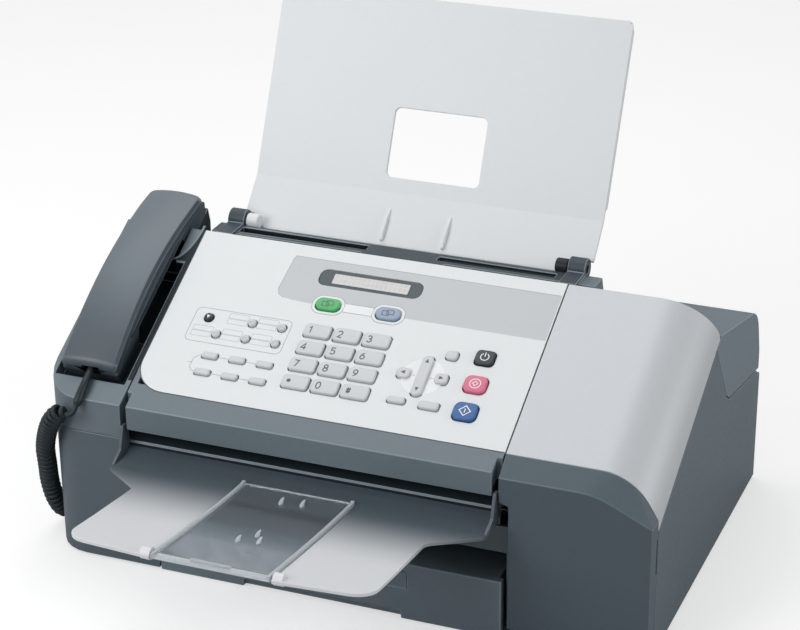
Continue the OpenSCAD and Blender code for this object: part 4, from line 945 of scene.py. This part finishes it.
def hand_top(s):
    """Height of the shell's arch."""
    u = (s - HAND_S) / HAND_LEN
    return END_H + ARCH_H * (1 - 4 * (u - ARCH_PEAK) ** 2) - REAR_FALL * max(0.0, u - 0.5)


def hand_half(h):
    """Half the shell's width, which draws in above and below its widest height."""
    over = h - WIDEST_H
    return HAND_W / 2 - (over * TAPER_UP if over > 0 else -over * TAPER_DOWN)


def hand_section(s, drop, inset):
    """The shell's outside at s, from its left lower edge over the top to the right one."""
    top, low = hand_top(s) - drop, hand_top(s) - WALL_H
    wall = max(low + WALL_FOOT, top - CROWN - CHAMFER * CHAMFER_RISE)
    flat = hand_half(wall) - inset - CHAMFER
    side = [(-hand_half(low) + inset, low), (-hand_half(wall) + inset, wall)]
    crown = [
        (flat * t, top - CROWN * t * t)
        for t in (k / CROWN_STEPS - 1 for k in range(2 * CROWN_STEPS + 1))
    ]
    points = side + crown + [(-x, h) for x, h in reversed(side)]
    return [on_slope(HAND_MID + x, s, h) for x, h in points]


def rolled(r):
    """Points of a rolled end of radius r: how far in from it, and how far below the arch."""
    turns = [pi / 2 * k / ROLL_STEPS for k in range(ROLL_STEPS + 1)]
    return [(r * (1 - cos(a)), r * (1 - sin(a))) for a in turns]


def corner_inset(distance, r):
    """How far a corner of radius r draws a side in, at a distance from the end."""
    return r - sqrt(r * r - (r - distance) ** 2) if distance < r else 0.0


def make_handset_back():
    first, last = HAND_S + ROLL_FRONT, HAND_END - ROLL_REAR - FINE_STEPS
    stations = [(HAND_S + along, drop) for along, drop in rolled(ROLL_FRONT)]
    stations += [
        (first + (last - first) * k / BODY_STEPS, 0.0) for k in range(1, BODY_STEPS + 1)
    ]
    stations += [(last + k, 0.0) for k in range(1, FINE_STEPS)]
    stations += [(HAND_END - along, drop) for along, drop in reversed(rolled(ROLL_REAR))]
    bm = bmesh.new()
    loft(bm, [
        hand_section(s, drop, max(
            corner_inset(s - HAND_S, ROUND_FRONT), corner_inset(HAND_END - s, ROUND_REAR)
        ))
        for s, drop in stations
    ], closed=False)
    face_towards(bm, on_slope(0, 0, 1) - on_slope(0, 0, 0))
    smooth = radians(SHELL_ANGLE)
    shell = to_mesh(bm, "handset_back_shell", smooth, fix_normals=False)
    shell = cut(modified(shell, thickened(SHELL_T)), [CORD_SLOT], on_slope)
    smooth_by_angle(shell, smooth)
    finished(shell, "handset", "handset_edge", "grip")
    # the shell's right-facing side in the darker body colour: painted shade
    paint(shell, 2, lambda _at, normal: normal.x > 0.8)
    # the bevels take the paler handset_edge copy: a painted highlight
    shell = modified(shell, *bevel_steps(0.35, 3, SHELL_ANGLE, edge_index=1))
    show("handset_back_shell", shell, "handset_back", True)


make_handset_back()

# -------- keys

KEY_TOP = 2.0
KEY_GAP = 0.6  # what the caps stay clear of the sizes below
FLANGE_LOW, FLANGE_TOP, FLANGE_OUT = -3.5, -2.5, 0.6  # of the caps, under the plate
CAP_ROUND, CAP_ROUND_SHARE = 0.9, 0.6  # of the upper edge: at most, and as a share of the corner
CAP_STEPS = 4
LEAST_CORNER = 0.35
INK_LOW, INK_HIGH = KEY_TOP - 0.08, KEY_TOP + 0.05
# places below are x and s of a key's middle, sizes are width, length and corner radius
KEYPAD_X, KEYPAD_S, KEYPAD_DX, KEYPAD_DS = -38.6, 38.8, 19.8, 13.4
KEYPAD_ROWS = ((1, "789"), (2, "456"), (3, "123"), (0, ("star", "0", "hash")))
KEYPAD_SIZE = (18.2, 10.4, 2.2)
ONE_TOUCH = ((-82.8, 77.4), (-62.4, 77.4), (-103.2, 64.8), (-82.8, 64.8), (-62.4, 64.8))
ONE_TOUCH_SIZE = (6, 6, 2.8)
FUNCTION_X, FUNCTION_S, FUNCTION_DX, FUNCTION_DS = -100.6, 47.8, 18.8, 13
FUNCTION_SIZE = (11.2, 4.8, 1.6)
OTHER_KEYS = {
    "shift_key": (-112.8, 76.6, 6.4, 6.4, 3), "fax_key": (-39.5, 100.6, 17, 10, 4.6),
    "copy_key": (1.2, 100.6, 17, 10, 4.6), "rocker_key": (38.2, 58.8, 8, 31, 3.6),
    "left_key": (26, 58.8, 9, 8, 2.4), "right_key": (50.4, 58.8, 9, 8, 2.4),
    "menu_key": (51.5, 77.2, 8, 7, 2.2), "clear_key": (28, 38.4, 12, 5, 1.8),
    "ok_key": (49.3, 38.2, 13.4, 6, 1.8), "power_key": (72.1, 79.3, 12.6, 11.4, 3),
    "stop_key": (72.5, 58.9, 14.8, 13, 4), "start_key": (72.6, 38.3, 15.4, 13.6, 4),
}
KEY_FINISH = {
    "fax_key": "green", "copy_key": "blue_grey", "power_key": "dark_key",
    "stop_key": "red", "start_key": "blue", "shift_key": "dark_key",
}
PALE_INK_ON = ("dark_key", "red", "blue")
# strokes of the digits, in units of DIGIT_SIZE from their lower left corner; one that ends where
# it starts is closed
DIGITS = {
    "1": [[(0.12, 1.18), (0.52, 1.5), (0.52, 0)]],
    "2": [arc(0.5, 1.08, 0.42, 0.42, 165, -38, 12) + [(0.08, 0), (0.96, 0)]],
    "3": [arc(0.46, 1.12, 0.38, 0.38, 160, -80, 11) + arc(0.46, 0.42, 0.44, 0.42, 80, -160, 13)],
    "4": [[(0.74, 0), (0.74, 1.5), (0.04, 0.46), (1.02, 0.46)]],
    "5": [[(0.9, 1.5), (0.2, 1.5), (0.14, 0.82)] + arc(0.46, 0.48, 0.46, 0.48, 125, -150, 13)],
    "6": [[(0.8, 1.46), (0.42, 1.18), (0.14, 0.78)], arc(0.5, 0.46, 0.42, 0.46, 0, 360, 20)],
    "7": [[(0.06, 1.5), (0.96, 1.5), (0.4, 0)]],
    "8": [arc(0.5, 1.12, 0.36, 0.38, 0, 360, 18), arc(0.5, 0.4, 0.43, 0.4, 0, 360, 18)],
    "9": [[(0.2, 0.04), (0.6, 0.34), (0.87, 0.74)], arc(0.5, 1.04, 0.42, 0.46, 0, 360, 20)],
    "0": [arc(0.5, 0.75, 0.43, 0.75, 0, 360, 24)],
    "star": [[(0.5, 0.3), (0.5, 1.2)], [(0.1, 0.52), (0.9, 0.98)], [(0.1, 0.98), (0.9, 0.52)]],
    "hash": [[(0.3, 0.1), (0.42, 1.4)], [(0.66, 0.1), (0.78, 1.4)],
             [(0.08, 0.5), (0.98, 0.5)], [(0.08, 1.0), (0.98, 1.0)]],
}
DIGIT_SIZE, DIGIT_STROKE = 3.2, 0.78
DIGIT_X, DIGIT_S = -5.8, -2.6  # a digit's lower left corner, from the key's middle


def key_layout():
    """Each key's x, s, width, length and corner radius."""
    keys = {}
    for row, names in KEYPAD_ROWS:
        for col, name in enumerate(names):
            at = (KEYPAD_X + col * KEYPAD_DX, KEYPAD_S + row * KEYPAD_DS)
            keys["key_" + name] = at + KEYPAD_SIZE
    for number, at in enumerate(ONE_TOUCH, 1):
        keys[f"dial_key_{number}"] = at + ONE_TOUCH_SIZE
    for number in range(6):
        row, col = divmod(number, 3)
        at = (FUNCTION_X + col * FUNCTION_DX, FUNCTION_S - row * FUNCTION_DS)
        keys[f"function_key_{number + 1}"] = at + FUNCTION_SIZE
    return keys | OTHER_KEYS


KEYS = key_layout()


def cap(bm, x, s, w, l, r):
    """A key: flange under the plate, straight sides, rounded upper edge."""
    edge = min(CAP_ROUND, r * CAP_ROUND_SHARE)
    levels = [(FLANGE_LOW, -FLANGE_OUT), (FLANGE_TOP, -FLANGE_OUT), (FLANGE_TOP, 0.0)]
    for a in (pi / 2 * k / CAP_STEPS for k in range(CAP_STEPS + 1)):
        levels.append((KEY_TOP - edge * (1 - sin(a)), edge * (1 - cos(a))))
    rings = []
    for h, inset in levels:
        less = 2 * inset + KEY_GAP
        outline = rounded_rect(w - less, l - less, max(r - inset, LEAST_CORNER))
        rings.append(raised(moved(outline, x, s), h))
    loft(bm, rings)


def triangle(x, s, size, turn):
    turns = [radians(turn + a) for a in (0, 130, 230)]
    return [(x + size * cos(t), s + size * sin(t)) for t in turns]


def sheet_sign(x, s):
    """A sheet with one corner cut off."""
    return moved([(-2.2, -1.7), (-2.2, 1.7), (1.2, 1.7), (2.2, 0.7), (2.2, -1.7)], x, s)


def symbol(bm, name, x, s):
    """The mark on a key's top, as thin closed strips."""
    def line(path, width, closed=False):
        ribbon(bm, path, width, INK_LOW, INK_HIGH, 1, closed)

    def fill(outline):
        slab(bm, outline, INK_LOW, INK_HIGH, 1)

    if name.startswith("key_"):
        for path in DIGITS[name[4:]]:
            closed = dist(path[0], path[-1]) < 1e-6
            points = [
                (x + DIGIT_X + DIGIT_SIZE * px, s + DIGIT_S + DIGIT_SIZE * ps) for px, ps in path
            ]
            line(points[:-1] if closed else points, DIGIT_STROKE, closed)
    elif name == "rocker_key":
        fill(triangle(x, s + 10.6, 1.7, 90))
        fill(triangle(x, s - 10.6, 1.7, -90))
    elif name in ("left_key", "right_key"):
        fill(triangle(x, s, 1.8, 180 if name == "left_key" else 0))
    elif name == "shift_key":
        fill(triangle(x, s - 0.2, 1.5, -90))
    elif name == "power_key":
        line(arc(x, s, 2.6, 2.6, 60, -240, 20), 0.6)
        line([(x, s + 0.2), (x, s + 3.3)], 0.6)
    elif name == "stop_key":
        line(oval(x, s, 3.4, 3.4, 24), 0.55, True)
        line(oval(x, s, 1.7, 1.7, 4)[::-1], 0.5, True)
    elif name == "start_key":
        line(oval(x, s, 3.6, 3.6, 4)[::-1], 0.6, True)
        line([(x, s - 1.5), (x, s + 1.5)], 0.6)
    elif name in ("fax_key", "copy_key"):
        for dx, ds in ((-1.4, -0.5), (1.6, 0.6)):
            line(sheet_sign(x + dx, s + ds), 0.5, True)


def make_key(name, x, s, w, l, r):
    bm = bmesh.new()
    cap(bm, x, s, w, l, r)
    symbol(bm, name, x, s)
    finish = KEY_FINISH.get(name, "key")
    ink = "pale_ink" if finish in PALE_INK_ON else "ink"
    show(name + "_cap", finished(to_mesh(bm, name + "_cap"), finish, ink), name, True)


for key, sizes in KEYS.items():
    make_key(key, *sizes)

# -------- prints and display

PRINT_LOW, PRINT_HIGH = -0.06, 0.03  # from just inside the plate to just above it
LINE_W, FINE_W, FRAME_W = 0.35, 0.22, 0.4
ONE_TOUCH_FRAME, ONE_TOUCH_MID = (66, 26.6, 3.5), (-90, 70.7)
INDEX_BOX, INDEX_X, INDEX_S = (13.4, 3.8, 0.5, 2), -10.4, (3.4, -1.0)  # two beside each key
LINK_SPAN, RULE_SPAN = (6.0, 12.6), (4.8, 7.2)  # from and to, measured from a key's middle
BRACKET = [(4.2, 0), (2.8, -0.4), (0.2, -3.2), (0, -9.8), (2.2, -12.6), (4.2, -13)]
BRACKET_X, BRACKET_MID, BRACKET_TICK = -110.8, 41.3, 2.8
DISC_R, DISC_HIGH = 13.6, 0.02
BAND = (19.4, 12.4, 5.6, 7)
BAND_W, BAND_HIGH = 1.5, 0.22
BAND_LINE = (21.6, 14.6, 6.6, 7)
BRIDGE_X, BRIDGE_S, BRIDGE_HIGH = (-28.7, -9.6), (97.4, 103.8), 0.06  # joins the two mode keys
BRIDGE_OUT, BRIDGE_LINE_HIGH = 0.2, 0.1  # its lines lie this far outside it
ZONE_LOW, ZONE_HIGH = -0.08, 0.014
ZONE = [
    (-74.2, 135.3), (-74.9, 133), (-76.4, 108), (-74.6, 103.8), (-70.6, 101.4), (-64, 100.4),
    (-50.8, 100.0), (104.4, 99.4), (104.4, 134.7),
]
ZONE_LINE = [
    (104, 134.9), (-74.2, 135.4), (-75.2, 133), (-76.6, 108), (-74.8, 103.6), (-70.8, 101.2),
]
DISPLAY_X, FIELD_X, DISPLAY_S = -18.5, -18.2, 122.2
DISPLAY_HOLE = (70.2, 13.4, 5.3, 6)
FIELD, FIELD_LOW, FIELD_HIGH = (51.5, 7.9, 0.7, 3), -0.5, -0.34
FIELD_RIM, FIELD_RIM_W, FIELD_RIM_HIGH = (52.2, 8.6, 0.9, 3), 0.5, -0.3
RIM_R, RIM_W, RIM_LOW, RIM_HIGH, RIM_INSET = 22, 0.7, -0.3, 0.02, 0.1
LEDGE = arc(-157.6, 148.2, 12.6, 30.6, 0, -90, 16)  # where the cradle's ledge ends
CURB_X0, CURB_X1, CURB_S = -146.4, -143.6, 20  # the cradle's right wall, seen from above
LEDGE_LOW, LEDGE_HIGH, LEDGE_W, LEDGE_EDGE_HIGH = -0.05, 0.03, 1.4, 0.35


def show_drawn(name, draw, finishes, slot):
    """Adds thin pieces that a function draws."""
    bm = bmesh.new()
    draw(bm)
    show(name, finished(to_mesh(bm, name), *finishes), slot)


def plate_prints(bm):
    def line(path, width=LINE_W, closed=False):
        ribbon(bm, path, width, PRINT_LOW, PRINT_HIGH, closed=closed)

    # frame round the one-touch keys, and the index boxes beside each
    line(moved(rounded_rect(*ONE_TOUCH_FRAME), *ONE_TOUCH_MID), FRAME_W, True)
    for number in range(1, 6):
        x, s = KEYS[f"dial_key_{number}"][:2]
        for ds in INDEX_S:
            line(moved(rounded_rect(*INDEX_BOX), x + INDEX_X, s + ds), FINE_W, True)
    # lines that link the function keys, and the bracket at their left
    for number in (1, 2, 4, 5):
        x, s = KEYS[f"function_key_{number}"][:2]
        line([(x + dx, s) for dx in LINK_SPAN])
    line(moved(BRACKET, BRACKET_X, FUNCTION_S))
    line([(BRACKET_X, BRACKET_MID), (BRACKET_X - BRACKET_TICK, BRACKET_MID)])
    # pale disc round the rocker
    rocker_x, rocker_s = KEYS["rocker_key"][:2]
    slab(bm, oval(rocker_x, rocker_s, DISC_R, DISC_R, 40), PRINT_LOW, DISC_HIGH, 1)
    # bands and rings of the two mode keys, and what joins them
    for name in ("fax_key", "copy_key"):
        x, s = KEYS[name][:2]
        band = moved(rounded_rect(*BAND), x, s)
        ribbon(bm, band, BAND_W, PRINT_LOW, BAND_HIGH, 1, True)
        line(moved(rounded_rect(*BAND_LINE), x, s), closed=True)
    (x0, x1), (s0, s1) = BRIDGE_X, BRIDGE_S
    slab(bm, [(x0, s0), (x1, s0), (x1, s1), (x0, s1)], PRINT_LOW, BRIDGE_HIGH, 1)
    for s in (s0 - BRIDGE_OUT, s1 + BRIDGE_OUT):
        ends = [(x0 - BRIDGE_OUT, s), (x1 + BRIDGE_OUT, s)]
        ribbon(bm, ends, LINE_W, PRINT_LOW, BRIDGE_LINE_HIGH)
    # short rules on both sides of the rocker
    for side in (-1, 1):
        line([(rocker_x + side * dx, rocker_s) for dx in RULE_SPAN])


def display_zone(bm):
    """The grey field round the display's window, with a line round its left part."""
    window = moved(rounded_rect(*DISPLAY_HOLE), DISPLAY_X, DISPLAY_S)
    for h in (ZONE_LOW, ZONE_HIGH):
        filled(bm, [raised(loop, h) for loop in (ZONE, window)])
    for loop in (ZONE, window):
        loft(bm, [raised(loop, h) for h in (ZONE_LOW, ZONE_HIGH)], caps=False)
    weld(bm, TOUCH)
    ribbon(bm, ZONE_LINE, FRAME_W, ZONE_LOW, PRINT_HIGH, 1)


def plate_rim(bm):
    """The dark joint between the plate and its frame."""
    x0, x1, s0 = PANEL_X0 + RIM_INSET, PANEL_X1 - RIM_INSET, STRIP + RIM_INSET
    path = [(x0, SLOPE_LEN), (x0, s0 + RIM_R - RIM_INSET)]
    path += arc(x0 + RIM_R, s0 + RIM_R, RIM_R, RIM_R, 180, 270, 14)[1:]
    ribbon(bm, path + [(x1, s0)], RIM_W, RIM_LOW, RIM_HIGH)


def cradle_edge(bm):
    """The curved edge of the ledge behind the handset, drawn on the cradle's step as painted light:
    a near-black slab of painted shade, and a paler raised strip along the edge as a painted
    highlight.
    """
    outline = [(CURB_X0, CURB_S), (CURB_X1, CURB_S), (CURB_X1, LEDGE[0][1])] + LEDGE
    outline += [(CURB_X0, LEDGE[-1][1])]
    slab(bm, outline, LEDGE_LOW, LEDGE_HIGH)
    ribbon(bm, LEDGE, LEDGE_W, LEDGE_LOW, LEDGE_EDGE_HIGH, 1)


def display_field(bm):
    slab(bm, moved(rounded_rect(*FIELD), FIELD_X, DISPLAY_S), FIELD_LOW, FIELD_HIGH)
    rim = moved(rounded_rect(*FIELD_RIM), FIELD_X, DISPLAY_S)
    ribbon(bm, rim, FIELD_RIM_W, FIELD_LOW, FIELD_RIM_HIGH, 1, True)


show_drawn("plate_prints", plate_prints, ["line", "print_white"], "panel_plate")
show_drawn("display_zone", display_zone, ["print_grey", "line"], "panel_plate")
show_drawn("plate_rim", plate_rim, ["edge_line"], "panel_plate")
# painted shade and a painted highlight for the cradle's ledge
show_drawn("cradle_edge", cradle_edge, ["painted_recess_shade", "hood_edge"], "upper_casing")
show_drawn("display_field", display_field, ["lcd", "edge_line"], "display_board")

# -------- studio

WORLD_LIGHT = 0.28
FLOOR_HALF, FLOOR_SHADE, FLOOR_GLOW = 12.0, 0.55, 0.55
FLOOR_PAPER = dict(rough=0.9, grain=300, bump=0.05, vary=0.01, specular=0.1, cloud=8.0)
# name, place and side in metres, and watts
LAMPS = (
    ("top_light", (-0.5, 0.45, 1.9), 1.5, 13.5),
    ("right_light", (1.75, 0.0, 0.55), 1.0, 11.0),
    ("front_light", (-0.75, -1.15, 0.9), 1.0, 12.5),
)
LAMPS_AIM = (0, 110, 90)


def either(tree, a, b):
    return node(tree, "Math", {0: a, 1: b}, operation="MAXIMUM").outputs[0]


def make_world():
    """A white surround as the camera and reflections see it, and a dimmer one as light."""
    scene.world = bpy.data.worlds.new("studio")
    scene.world.use_nodes = True
    tree = scene.world.node_tree
    ray = node(tree, "LightPath").outputs
    seen = either(tree, ray["Is Camera Ray"], ray["Is Glossy Ray"])
    seen = either(tree, seen, ray["Is Transmission Ray"])
    strength = remap(tree, seen, WORLD_LIGHT, 1.0, 0.0, 1.0)
    feed(tree, tree.nodes["Background"], {"Color": (1, 1, 1, 1), "Strength": strength})


def make_floor():
    """A pale floor that glows for the camera alone and keeps the object's shadow."""
    mesh = bpy.data.meshes.new("floor")
    a = FLOOR_HALF
    mesh.from_pydata([(-a, -a, 0), (a, -a, 0), (a, a, 0), (-a, a, 0)], [], [range(4)])
    mat = plastic("floor_paper", (FLOOR_SHADE,) * 3, **FLOOR_PAPER)
    tree = mat.node_tree
    paper = tree.nodes["Principled BSDF"].outputs[0]
    glow = node(tree, "Emission", {"Strength": FLOOR_GLOW}).outputs[0]
    both = node(tree, "AddShader", {0: paper, 1: glow}).outputs[0]
    seen = node(tree, "LightPath").outputs["Is Camera Ray"]
    shown = node(tree, "MixShader", {0: seen, 1: paper, 2: both}).outputs[0]
    feed(tree, tree.nodes["Material Output"], {"Surface": shown})
    mesh.materials.append(mat)
    linked("floor", mesh)


def make_lamps():
    aim = place(*LAMPS_AIM)
    for name, at, size, power in LAMPS:
        data = bpy.data.lights.new(name, "AREA")
        data.size, data.energy = size, power
        lamp = linked(name, data)
        turned = (Vector(at) - aim).to_track_quat("Z", "Y").to_matrix().to_4x4()
        lamp.matrix_world = Matrix.Translation(at) @ turned


scene.view_settings.view_transform = "Standard"
make_world()
make_floor()
make_lamps()
